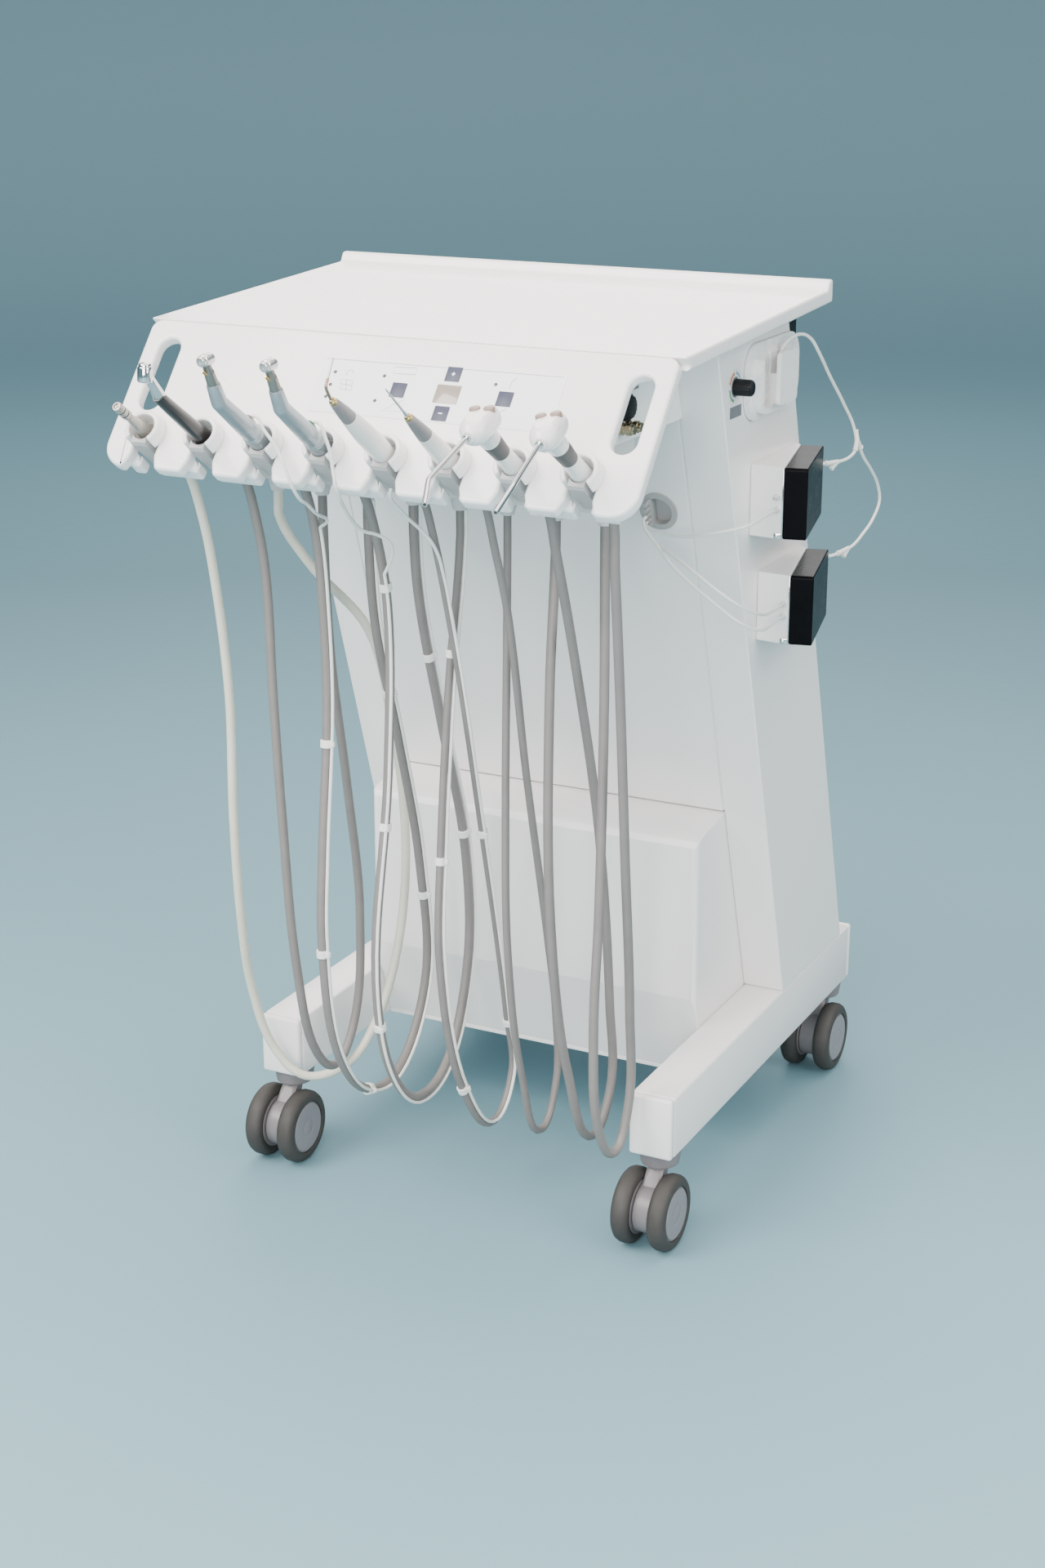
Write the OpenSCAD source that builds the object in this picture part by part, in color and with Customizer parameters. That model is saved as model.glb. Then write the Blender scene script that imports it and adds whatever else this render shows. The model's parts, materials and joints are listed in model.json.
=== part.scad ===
// Portable dental treatment cart: a leaning cabinet on two castored floor beams,
// with a worktop, an inclined console for eight instruments and two irrigation pumps.
// Millimetres. +X is the user's right, the user stands at -Y, +Z is up, the floor is Z = 0.

/* [Chassis] */
// Diameter of the twin castor wheels
wheel_d = 72; // [60:1:76]
// Width of one castor wheel
wheel_w = 18; // [14:1:22]
// Distance between the two wheels of a castor, face to face
wheel_gap = 18; // [16:1:24]
// How far a wheel axle trails from its swivel pin
castor_trail = 20; // [15:1:24]
// Height of the underside of the floor beams above the floor
beam_z = 90; // [90:1:110]
// Height of a floor beam
beam_h = 60; // [40:1:80]
// Length of a floor beam
beam_len = 484; // [460:2:560]
// Distance from a beam's end to its swivel pin
castor_inset = 25; // [24:1:60]
// Thickness of the end caps on the beams
end_cap_t = 8; // [4:1:12]

/* [Cabinet] */
// Clear width between the two side columns
column_gap = 352; // [330:2:400]
// Width of a side column, and of the beam under it
column_w = 42; // [38:1:56]
// Front-to-back depth of a side column
column_depth = 170; // [150:5:200]
// Lean of the columns and panels towards the user, in degrees
lean = 18; // [14:0.5:20]
// Distance from the front end of the beams to the foot of the columns
foot_setback = 280; // [260:5:300]
// Thickness of the cabinet's front and rear panels
panel_t = 4; // [3:0.5:8]
// Height of the seam between the front panel and the lower cover
seam_z = 354; // [330:2:400]
// Width of the shadow gap round the panels
shadow_gap = 1.2; // [0.6:0.2:3]
// How far the lower cover stands out at its top crease
cover_reach = 63; // [40:1:80]
// Height of the crease along the lower part of the cover
cover_crease_z = 182; // [170:2:230]

/* [Worktop] */
// Width of the worktop
worktop_w = 502; // [496:2:560]
// Depth of the worktop
worktop_depth = 334; // [320:2:380]
// Thickness of the worktop
worktop_t = 12; // [8:1:20]
// Height of the worktop's front edge
worktop_z = 832; // [820:2:870]
// Fall of the worktop towards the user, in degrees
worktop_tilt = 2.7; // [0:0.1:4]
// Height of the rim along the back of the worktop
rim_h = 8; // [4:1:16]

/* [Console] */
// Width of the inclined console plate
console_w = 494; // [490:2:540]
// Length of the console plate along its slope
console_len = 143; // [138:1:165]
// Thickness of the console plate
console_t = 12; // [8:1:16]
// Slope of the console plate from level, in degrees
console_slope = 50.4; // [46:0.2:54]
// How far the box behind the console reaches below the worktop's front edge
box_drop = 80; // [60:1:84]
// Distance between neighbouring instrument holders
holder_pitch = 58; // [54:1:60]
// How far the row of holders sits left of the middle
holder_offset = 5; // [0:1:8]
// Distance of the holders from the console's top edge, along the slope
holder_s = 112; // [108:1:116]
// Outer diameter of a holder ring
ring_d = 33; // [30:1:38]
// How far a holder ring stands out of the console
ring_h = 14; // [8:1:20]
// Tilt of the instruments from square to the console, in degrees
holder_tilt = 4.5; // [0:0.5:6]
// Diameter of an instrument's tail in its holder
tail_d = 18; // [15:0.2:19]
// Width of the hand slots at the ends of the console
grip_w = 22; // [18:1:26]
// Length of the hand slots
grip_len = 70; // [60:1:74]

/* [Pumps] */
// Height of a pump head
pump_h = 64; // [50:1:70]
// Length of a pump head along the column
pump_len = 114; // [100:1:120]
// How far the pump's front stands out of the column
pump_reach = 33; // [30:1:50]
// Thickness of the black pump cover
cover_t = 21; // [14:1:24]
// Height of the top of the upper pump
upper_pump_z = 705; // [690:1:720]
// Distance between the two pumps
pump_pitch = 102; // [80:1:120]
// How far the lower pump sits behind the upper one
pump_step = 25; // [10:1:36]
// Diameter of the pump rotor
rotor_d = 44; // [30:1:50]

/* [Cords] */
// Outer diameter of the instrument hoses
hose_d = 8.5; // [6:0.5:9]
// Outer diameter of the slim scaler hoses
slim_hose_d = 7; // [5:0.5:8]
// Outer diameter of the thin irrigation tubes
thin_tube_d = 3; // [2:0.5:4]
// Distance between neighbouring hose outlets under the console
outlet_pitch = 45.6; // [42:0.2:48]

/* [Hidden] */
$fn = 48;
fit = 0.05;           // running clearance round a pin or shaft
seat = 0.3;           // clearance between a moving piece and its seat
wheel_r = wheel_d / 2;
tail_r = tail_d / 2;
ring_r = ring_d / 2;
trough_r = tail_r + seat;
ring_bore_r = trough_r + 2.5;
fork_half = 7.2;
fork_deep = trough_r + 5;

// Floor beams and columns
beam_front = -168;
beam_rear = beam_front + beam_len;
deck_z = beam_z + beam_h;
foot_y = beam_front + foot_setback;
inner_x = column_gap / 2;
outer_x = inner_x + column_w;
castor_x = inner_x + column_w / 2;
front_castor_y = beam_front + castor_inset;
rear_castor_y = beam_rear - castor_inset;
stem_r = 5;
stem_len = 32;
cup_r = column_w / 2 - 1;
cup_h = 14;
axle_r = 4;
drum_r = wheel_r - 13;

// Worktop, which falls towards the user
worktop_front = foot_y - 362;
worktop_rear = worktop_front + worktop_depth;
function top_z(y) = worktop_z + (y - worktop_front) * tan(worktop_tilt);
function under_z(y) = top_z(y) - worktop_t;

// Planes of the leaning cabinet
function front_y(z) = foot_y - (z - deck_z) * tan(lean);
function rear_y(z) = front_y(z) + column_depth;
// Where a plane with the cabinet's lean and a foot at y meets the worktop's underside
function lean_top(y, down = 0) =
    (y - tan(lean) * (worktop_z - worktop_t - down - tan(worktop_tilt) * worktop_front - deck_z))
    / (1 + tan(lean) * tan(worktop_tilt));

// Planes of the console plate
function plate_y(z, deep = 0) =
    worktop_front - (worktop_z - z) / tan(console_slope) + deep / sin(console_slope);
// Where the plane behind the console plate meets the worktop's underside
function plate_top(deep, down = 0) =
    (plate_y(under_z(worktop_front) - down, deep) - worktop_front * tan(worktop_tilt) / tan(console_slope))
    / (1 - tan(worktop_tilt) / tan(console_slope));
plate_back_y = worktop_front + console_t * sin(console_slope);
plate_back_z = worktop_z - console_t * cos(console_slope);
box_half = inner_x + 3;
box_z = worktop_z - box_drop;
wall = 4;

// Instrument holders
stations = 8;
function station_x(i) = (i - (stations - 1) / 2) * holder_pitch - holder_offset;
slot_half = 11.5;
slot_edge = console_len - holder_s;
skirt_t = 16;
tail_back = 45;       // how far an instrument's tail reaches behind the console face
lift = 55;            // how far an instrument slides out of its ring
nozzle_reach = 183.91; // how far the longest nozzle reaches in front of its holder

// Hose outlets
outlet_y = -198;
outlet_z = box_z - 72;
collar_h = 16;
collar_r = 8;
manifold_z = outlet_z + collar_h;
function outlet_x(i) = (i - (stations - 1) / 2) * outlet_pitch;

// Pumps on the right column
pump_skew = 13.2;     // the pump face turns towards the back
pump_rear = 11;       // how far the pump's rear edge stands out
pump_y = front_y(upper_pump_z - pump_h / 2) + 38;
rotor_t = 11;
cover_wall = 2;

// The whole cart is centred on the floor
right_reach = outer_x + pump_reach + cover_t * cos(pump_skew);
centre_x = (right_reach - worktop_w / 2) / 2;
front_reach = worktop_front - holder_s * cos(console_slope) - nozzle_reach;
centre_y = (front_reach + beam_rear) / 2;

// ---- Helpers ----

module cart() translate([-centre_x, -centre_y, 0]) children();

// A side-view outline of [y, z] points, extruded along X from x
module side_profile(x, w, points)
    translate([x, 0, 0]) rotate([90, 0, 90]) linear_extrude(w) polygon(points);

// X along the cart, Y up the console's slope, Z out of the console's face
module on_console() translate([0, worktop_front, worktop_z]) rotate([console_slope, 0, 0]) children();

module on_station(i) on_console() translate([station_x(i), -holder_s, 0]) children();

// Along the axis of the instrument at station i, which hangs a little lower than square
module on_holder(i) on_station(i) rotate([holder_tilt, 0, 0]) children();

module rounded_rect(w, h, r) {
    square([w - 2 * r, h], center = true);
    square([w, h - 2 * r], center = true);
    for (x = [-1, 1], y = [-1, 1]) translate([x * (w / 2 - r), y * (h / 2 - r)]) circle(r);
}

module rounded_box(size, r) translate([0, 0, -size[2] / 2]) linear_extrude(size[2])
    rounded_rect(size[0], size[1], r);

module obround(w, len) {
    square([w, len - w], center = true);
    for (y = [-1, 1]) translate([0, y * (len - w) / 2]) circle(w / 2);
}

// A tube swept along a smooth curve through the route's points
function blend4(a, b, c, d, t) =
    let (u = norm(c - b) * unit(unit(b - a) + unit(c - b)), v = norm(c - b) * unit(unit(c - b) + unit(d - c)))
    b + u * t + (3 * (c - b) - 2 * u - v) * t * t + (u + v - 2 * (c - b)) * t * t * t;
function before(p, i) = i == 0 ? 2 * p[0] - p[1] : p[i - 1];
function after(p, i) = i == len(p) - 1 ? 2 * p[i] - p[i - 1] : p[i + 1];
function smooth(p, steps) = concat(
    [for (i = [0:len(p) - 2], k = [0:steps - 1])
        blend4(before(p, i), p[i], p[i + 1], after(p, i + 1), k / steps)],
    [p[len(p) - 1]]);
function unit(v) = v / norm(v);
function heading(p, i) = i == 0 ? unit(p[1] - p[0])
    : i == len(p) - 1 ? unit(p[i] - p[i - 1])
    : unit(unit(p[i] - p[i - 1]) + unit(p[i + 1] - p[i]));
function across(h, old) = unit(old - (old * h) * h);
function frames(p, i, old) = i == len(p) ? [] :
    let (h = heading(p, i), a = across(h, old)) concat([[a, cross(h, a)]], frames(p, i + 1, a));

module tube(route, r, sides, steps, first = [1, 0, 0]) {
    p = smooth(route, steps);
    f = frames(p, 0, first);
    n = len(p);
    points = [for (i = [0:n - 1], k = [0:sides - 1])
        p[i] + r * (f[i][0] * cos(360 * k / sides) + f[i][1] * sin(360 * k / sides))];
    walls = [for (i = [0:n - 2], k = [0:sides - 1])
        let (a = i * sides + k, b = i * sides + (k + 1) % sides) each [
            [a, a + sides, b + sides], [a, b + sides, b]]];
    start = [for (k = [1:sides - 2]) [0, k, k + 1]];
    last = (n - 1) * sides;
    end = [for (k = [1:sides - 2]) [last, last + k + 1, last + k]];
    polyhedron(points, concat(walls, start, end));
}

// ---- Chassis ----

module beam(side) {
    x = side * castor_x;
    difference() {
        union() {
            translate([x, beam_front + beam_len / 2, beam_z + beam_h / 2])
                rotate([90, 0, 0]) rounded_box([column_w, beam_h, beam_len - 2 * end_cap_t], 2);
            for (y = [beam_front + end_cap_t / 2, beam_rear - end_cap_t / 2])
                translate([x, y, beam_z + beam_h / 2])
                    rotate([90, 0, 0]) rounded_box([column_w, beam_h, end_cap_t], 3);
        }
        for (y = [front_castor_y, rear_castor_y])
            translate([x, y, beam_z - 1]) cylinder(r = stem_r + fit, h = stem_len + 2);
    }
}

module left_beam() cart() color("whitesmoke") beam(-1);

module right_beam() cart() color("whitesmoke") beam(1);

module base_plate() cart() color("gainsboro") {
    y0 = front_y(seam_z) - cover_reach + 29;
    difference() {
        translate([-inner_x, y0, beam_z]) cube([column_gap, rear_y(beam_z + panel_t) - panel_t - y0, panel_t]);
        // Louvres that let air into the cabinet from below
        for (k = [0:8])
            translate([-80 + 20 * k, y0 + 190, beam_z + panel_t / 2])
                linear_extrude(panel_t * 2, center = true) obround(6, 60);
    }
}

module column(x) side_profile(x, column_w, [
    [foot_y, deck_z],
    [foot_y + column_depth, deck_z],
    [lean_top(foot_y + column_depth), under_z(lean_top(foot_y + column_depth))],
    [lean_top(foot_y), under_z(lean_top(foot_y))],
]);

module left_column() cart() color("whitesmoke") column(-outer_x);

side_knob_y = front_y(worktop_z - 53) + 30;
side_knob_z = worktop_z - 53;
module right_column() cart() color("whitesmoke") difference() {
    column(inner_x);
    translate([outer_x - 20, side_knob_y, side_knob_z]) rotate([0, 90, 0]) cylinder(r = 3 + fit, h = 21);
}

// A leaning sheet between the columns, from z0 up to the worktop, its face at depth back
module leaning_sheet(half, z0, back, t, down = 0) side_profile(-half, 2 * half, [
    [front_y(z0) + back, z0],
    [front_y(z0) + back + t, z0],
    [lean_top(foot_y + back + t, down), under_z(lean_top(foot_y + back + t, down)) - down],
    [lean_top(foot_y + back, down), under_z(lean_top(foot_y + back, down)) - down],
]);

grommet_x = 146;
grommet_z = 663;
grommet_r = 15;
module front_panel() cart() color("whitesmoke") difference() {
    union() {
        leaning_sheet(inner_x - shadow_gap, seam_z + shadow_gap / 2, 0, panel_t);
        // Side flanges that lie against the columns behind the shadow gap
        intersection() {
            leaning_sheet(inner_x, seam_z + shadow_gap / 2 + 1, shadow_gap, 14, 1);
            for (side = [-1, 1])
                translate([side * (inner_x - panel_t / 2) - panel_t / 2, -400, 0]) cube([panel_t, 800, 1000]);
        }
    }
    translate([grommet_x, front_y(grommet_z), grommet_z]) rotate([lean - 90, 0, 0])
        cylinder(r = grommet_r + fit, h = 40, center = true);
}

// Outline of the lower cover, from the seam down to its lower edge, drawn in by a wall
function cover_outline(w) = [
    [front_y(seam_z) + 20, seam_z - shadow_gap / 2 - w],
    [front_y(seam_z), seam_z - shadow_gap / 2 - w],
    [front_y(seam_z) - cover_reach + 10 + w / 2, seam_z - 9 - w],
    [front_y(seam_z) - cover_reach + 3 + w, seam_z - 12 - w],
    [front_y(seam_z) - cover_reach + w, seam_z - 18 - w],
    [front_y(seam_z) - cover_reach + w, cover_crease_z - w / 5],
    [front_y(seam_z) - cover_reach + 29 + w, beam_z + panel_t - (w > 0 ? 10 : 0)],
    [front_y(beam_z) + 20, beam_z + panel_t - (w > 0 ? 10 : 0)],
];
module lower_cover() cart() color("whitesmoke") intersection() {
    difference() {
        side_profile(-inner_x, column_gap, cover_outline(0));
        side_profile(-inner_x + wall, column_gap - 2 * wall, cover_outline(wall));
        // Behind the leaning front of the columns the cover is only two flanges deep
        side_profile(-inner_x - 1, column_gap + 2, [
            [front_y(beam_z) + 14, beam_z - 1], [front_y(beam_z) + 60, beam_z - 1],
            [front_y(seam_z) + 60, seam_z + 1], [front_y(seam_z) + 14, seam_z + 1],
        ]);
    }
    // Rounded upright edges
    translate([0, front_y(seam_z) - cover_reach + 150, 0]) linear_extrude(600)
        rounded_rect(column_gap, 300, 6);
}

// The rear panel, with a louvred vent and two pairs of hooks for a wound-up lead
hook_z = 472;
top_hook_z = hook_z + 150;
module rear_panel() cart() color("whitesmoke") {
    difference() {
        leaning_sheet(inner_x, beam_z, column_depth - panel_t, panel_t);
        for (k = [0:7]) {
            z = 260 + 14 * k;
            translate([0, rear_y(z), z]) rotate([lean - 90, 0, 0]) rotate([0, 0, 90])
                linear_extrude(panel_t * 4, center = true) obround(5, 150);
        }
        translate([-110, rear_y(200), 200]) rotate([lean - 90, 0, 0])
            cylinder(r = 8 + fit, h = panel_t * 6, center = true);
        translate([-50, rear_y(200), 200]) rotate([lean, 0, 0]) cube([48, panel_t * 6, 28], center = true);
    }
    for (side = [-1, 1]) {
        side_profile(side * (inner_x - 45) - 12, 24, [
            [rear_y(hook_z + 20), hook_z + 20], [rear_y(hook_z + 14) + 6, hook_z + 16],
            [rear_y(hook_z) + 34, hook_z - 2], [rear_y(hook_z) + 54, hook_z - 44],
            [rear_y(hook_z) + 47, hook_z - 47], [rear_y(hook_z) + 27, hook_z - 10],
            [rear_y(hook_z - 8), hook_z - 8],
        ]);
        side_profile(side * (inner_x - 45) - 12, 24, [
            [rear_y(top_hook_z - 20), top_hook_z - 20], [rear_y(top_hook_z) + 32, top_hook_z],
            [rear_y(top_hook_z) + 40, top_hook_z + 44], [rear_y(top_hook_z) + 33, top_hook_z + 47],
            [rear_y(top_hook_z) + 22, top_hook_z + 10], [rear_y(top_hook_z + 8), top_hook_z + 8],
        ]);
    }
}

// ---- Worktop and console ----

module worktop() cart() color("whitesmoke") difference() {
    side_profile(-worktop_w / 2, worktop_w, [
        [worktop_front, worktop_z],
        [plate_back_y, plate_back_z],
        [plate_top(console_t), under_z(plate_top(console_t))],
        [worktop_rear, under_z(worktop_rear)],
        [worktop_rear, top_z(worktop_rear) + rim_h],
        [worktop_rear - 8, top_z(worktop_rear) + rim_h],
        [worktop_rear - 13, top_z(worktop_rear - 13)],
    ]);
}

module console_outline() {
    r = 22;
    difference() {
        translate([0, -console_len / 2]) union() {
            square([console_w - 2 * r, console_len], center = true);
            translate([0, r / 2 - 5]) square([console_w, console_len - r - 10], center = true);
            for (x = [-1, 1]) {
                translate([x * (console_w / 2 - r), -console_len / 2 + r]) circle(r);
                translate([x * (console_w / 2 - 10), console_len / 2 - 10]) circle(10);
                translate([x * (console_w / 2 - 20), console_len / 2 - 6]) square([20, 12], center = true);
            }
        }
        for (x = [-1, 1])
            translate([x * (console_w / 2 - 15 - grip_w / 2), -18 - grip_len / 2]) obround(grip_w, grip_len);
        for (i = [0:stations - 1]) translate([station_x(i), -holder_s]) {
            circle(ring_bore_r);
            // A slot from the holder to the lower edge, with a flared mouth
            polygon([[-slot_half, 0], [slot_half, 0], [slot_half, -slot_edge + 12],
                [slot_half + 5, -slot_edge - 1], [-slot_half - 5, -slot_edge - 1],
                [-slot_half, -slot_edge + 12]]);
        }
    }
}

module console_plate() cart() color("white") on_console() {
    translate([0, 0, -console_t]) linear_extrude(console_t) console_outline();
    // Deep skirt behind the teeth, which grips the holder forks
    translate([0, 0, -console_t - skirt_t]) linear_extrude(skirt_t) difference() {
        translate([-console_w / 2 + 20, -console_len + 7])
            square([console_w - 40, slot_edge - ring_bore_r - 9]);
        for (i = [0:stations - 1]) translate([station_x(i) - fork_half, -console_len - 1])
            square([2 * fork_half, slot_edge + 2]);
    }
}

function box_outline(w) = [
    [front_y(box_z + w) - w * 1.1, box_z + w],
    [lean_top(foot_y - w * 1.1, w), under_z(lean_top(foot_y - w * 1.1)) - w],
    [plate_top(console_t + w, w), under_z(plate_top(console_t + w)) - w],
    [plate_y(box_z + w, console_t + w), box_z + w],
];
flow_knob_y = worktop_front + 42;
flow_knob_z = worktop_z - 50;
module console_box() cart() color("white") difference() {
    side_profile(-box_half, 2 * box_half, box_outline(0));
    side_profile(-box_half + wall, 2 * (box_half - wall), box_outline(wall));
    translate([box_half - wall - 1, flow_knob_y, flow_knob_z]) rotate([0, 90, 0])
        cylinder(r = 3 + fit, h = wall + 2);
}

module hose_manifold() cart() color("gainsboro") difference() {
    union() {
        translate([0, outlet_y, (manifold_z + box_z) / 2])
            rounded_box([8 * outlet_pitch - 16, 60, box_z - manifold_z], 8);
        for (i = [0:stations - 1]) translate([outlet_x(i), outlet_y, outlet_z]) {
            cylinder(r1 = collar_r - 2, r2 = collar_r, h = collar_h / 2);
            translate([0, 0, collar_h / 2]) cylinder(r = collar_r, h = collar_h / 2);
        }
    }
    // Inside, the block is open to the box above it
    translate([0, outlet_y, (manifold_z + box_z) / 2 + wall])
        rounded_box([8 * outlet_pitch - 16 - 2 * wall, 60 - 2 * wall, box_z - manifold_z], 4);
}

key_w = 14;
key_x = 57;
key_y = -50;
pad_w = 222;
pad_h = 52;
module control_panel() cart() color("ghostwhite") on_console() {
    translate([key_x - 11, key_y, 0]) linear_extrude(0.5) rounded_rect(pad_w, pad_h, 4);
    for (p = [[0, 18.5], [0, -18], [-45, 0], [52, 0]])
        translate([key_x + p[0], key_y + p[1], 0.5]) rounded_box([key_w, key_w, 1], 1.5);
    translate([key_x, key_y, 0.4]) rounded_box([22, 17, 0.8], 1);
}

module holder_rings() cart() color("white") for (i = [0:stations - 1]) on_station(i) difference() {
    rotate_extrude() polygon([[ring_bore_r, 0], [ring_r, 0], [ring_r, ring_h - 3],
        [ring_r - 1, ring_h - 1], [ring_r - 2.5, ring_h], [ring_bore_r + 1, ring_h],
        [ring_bore_r, ring_h - 1]]);
    // The ring is open towards the slot
    translate([0, 0, -1]) linear_extrude(ring_h + 2) polygon([[0, 0],
        [-1.5 * ring_r * sin(42), -1.5 * ring_r * cos(42)],
        [1.5 * ring_r * sin(42), -1.5 * ring_r * cos(42)]]);
}

module holder_forks() cart() color("silver") for (i = [0:stations - 1]) on_holder(i) difference() {
    side_profile(-fork_half, 2 * fork_half, [
        [-6, 11], [-fork_deep + 2, 11], [-fork_deep, 8], [-fork_deep, -28], [-fork_deep + 6, -32],
        [-6, -32],
    ]);
    translate([0, 0, -33]) cylinder(r = trough_r, h = 50);
}

// ---- Pumps and the right side ----

// Plan of a pump housing: a wedge between the column and the pump's skewed face
pump_slope_y = pump_len * cos(pump_skew);
module pump_frame(k) translate([outer_x, pump_y + k * pump_step, upper_pump_z - k * pump_pitch - pump_h])
    children();
module on_pump_face() translate([pump_reach, -4, 0]) rotate([0, 0, pump_skew]) children();

module pump_housings() cart() color("whitesmoke") for (k = [0, 1]) pump_frame(k) difference() {
    union() {
        linear_extrude(pump_h) polygon([[0, 0], [pump_reach, -4],
            [pump_reach - pump_len * sin(pump_skew), -4 + pump_slope_y],
            [0, pump_slope_y + 4]]);
        // Two tube ports at the front and a latch catch below them
        for (z = [pump_h * 0.42, pump_h * 0.6])
            translate([pump_reach - 5, -3, z]) rotate([90, 0, 0]) cylinder(r = 2.5, h = 6);
    }
    on_pump_face() translate([-14, pump_len / 2, pump_h / 2]) rotate([0, 90, 0])
        cylinder(r = 3 + fit, h = 20);
}

module pump_rotor(k) pump_frame(k) on_pump_face() translate([0, pump_len / 2, pump_h / 2])
    rotate([0, 90, 0]) {
        translate([0, 0, -12]) cylinder(r = 3, h = 13);
        difference() {
            translate([0, 0, 1]) cylinder(r = rotor_d / 2 - 5, h = rotor_t);
            for (a = [0:120:359]) rotate([0, 0, a]) translate([rotor_d / 2 - 6, 0, 3])
                cylinder(r = 6, h = rotor_t);
        }
        for (a = [0:120:359]) rotate([0, 0, a]) translate([rotor_d / 2 - 6, 0, 3])
            cylinder(r = 5.5, h = rotor_t - 2);
    }

module pump_cover(k) pump_frame(k) on_pump_face() translate([seat, 0, 0]) difference() {
    translate([0, pump_len / 2, pump_h / 2]) rotate([0, 90, 0])
        translate([0, 0, (cover_t - seat) / 2]) rounded_box([pump_h, pump_len, cover_t - seat], 3);
    translate([-1, cover_wall, cover_wall])
        cube([cover_t - seat - cover_wall + 1, pump_len - 2 * cover_wall, pump_h - 2 * cover_wall]);
}

module upper_pump_cover() cart() color("dimgray") pump_cover(0);

module lower_pump_cover() cart() color("dimgray") pump_cover(1);

module upper_pump_rotor() cart() color("lightgray") pump_rotor(0);

module lower_pump_rotor() cart() color("lightgray") pump_rotor(1);

pocket_y = front_y(worktop_z - 60) + 47;
pocket_z = worktop_z - 89;
module tube_pocket() cart() color("whitesmoke") translate([outer_x, pocket_y, pocket_z]) difference() {
    union() {
        // Back plate with rounded corners
        translate([0, 64, 34]) rotate([90, 0, 90]) linear_extrude(3) rounded_rect(128, 67, 24);
        // Shallow tray, and beside it the deeper tube holder
        translate([0, 54, 31]) rotate([90, 0, 90]) linear_extrude(10) rounded_rect(72, 52, 16);
        translate([0, 61, 35]) rotate([90, 0, 90]) linear_extrude(19) rounded_rect(42, 46, 5);
    }
    translate([3, 38, 39]) rotate([90, 0, 90]) linear_extrude(12) rounded_rect(28, 58, 10);
    // Open-topped socket for the end of the irrigation tube
    translate([5, 50, 38]) cube([10, 22, 30]);
}

module side_knob() cart() color("black") translate([outer_x, side_knob_y, side_knob_z])
    rotate([0, 90, 0]) {
        translate([0, 0, -18]) cylinder(r = 3, h = 19);
        translate([0, 0, seat]) cylinder(r1 = 7.3, r2 = 6.6, h = 15);
        translate([0, 0, seat + 15]) cylinder(r1 = 6.6, r2 = 5.6, h = 1.5);
    }

module flow_knob() cart() color("black") translate([box_half, flow_knob_y, flow_knob_z])
    rotate([0, 90, 0]) {
        translate([0, 0, -wall - 2]) cylinder(r = 3, h = wall + 3);
        translate([0, 0, seat]) cylinder(r = 12, h = 5);
        translate([0, 0, 5]) cylinder(r1 = 11, r2 = 9, h = 4);
    }

module tube_grommet() cart() color("darkgray")
    translate([grommet_x, front_y(grommet_z), grommet_z]) rotate([lean - 90, 0, 0]) {
        difference() {
            union() {
                translate([0, 0, -2]) cylinder(r = grommet_r + 3, h = 2);
                translate([0, 0, -2]) cylinder(r = grommet_r - fit, h = 12);
            }
            translate([0, 0, -3]) cylinder(r = grommet_r - 2, h = 9);
        }
        // Comb of small tube connectors
        translate([-7, 0, 0]) cube([4, 24, 14], center = true);
        for (k = [-2:2]) translate([-7, k * 5.5, -13]) cylinder(r = 2, h = 10);
    }

module air_connectors() cart() color("goldenrod") {
    // Pair of quick connectors on the side of the console box
    for (k = [0, 1])
        translate([box_half, flow_knob_y - 7 + 14 * k, box_z + 13]) rotate([0, 90, 0]) {
            cylinder(r = 5.5, h = 4, $fn = 6);
            cylinder(r = 4, h = 14);
            translate([0, 0, 7]) cylinder(r = 5, h = 4);
        }
    // Air inlet and mains inlet on the back of the cabinet
    translate([-110, rear_y(200), 200]) rotate([lean - 90, 0, 0]) {
        translate([0, 0, -8]) cylinder(r = 8, h = 10);
        cylinder(r = 11, h = 5);
        cylinder(r = 4.5, h = 24);
    }
    translate([-50, rear_y(200), 200]) rotate([lean, 0, 0]) difference() {
        union() {
            translate([0, -2, 0]) cube([48, 20, 28], center = true);
            translate([0, 1.5, 0]) cube([56, 3, 36], center = true);
        }
        translate([0, 6, 0]) cube([24, 20, 17], center = true);
    }
}

module rear_bracket() cart() color("black") translate([outer_x - 12, 0, 0]) {
    y1 = lean_top(foot_y + column_depth);
    z0 = under_z(y1) - 60;
    side_profile(0, 12 - seat, [
        [rear_y(z0), z0], [rear_y(z0) + 4, z0],
        [y1 + 24, under_z(y1 + 24) - 40], [y1 + 24, under_z(y1 + 24)], [y1, under_z(y1)],
    ]);
}

module inner_units() cart() color("slategray") {
    z = beam_z + panel_t;
    // Power supply, and beside it the block of air and water valves
    translate([-150, foot_y + 40, z]) cube([150, 90, 70]);
    translate([30, foot_y + 40, z]) cube([110, 70, 45]);
    for (k = [0:4]) translate([42 + 21 * k, foot_y + 75, z + 45]) cylinder(r = 8, h = 40);
}

// ---- Castors ----

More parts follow.
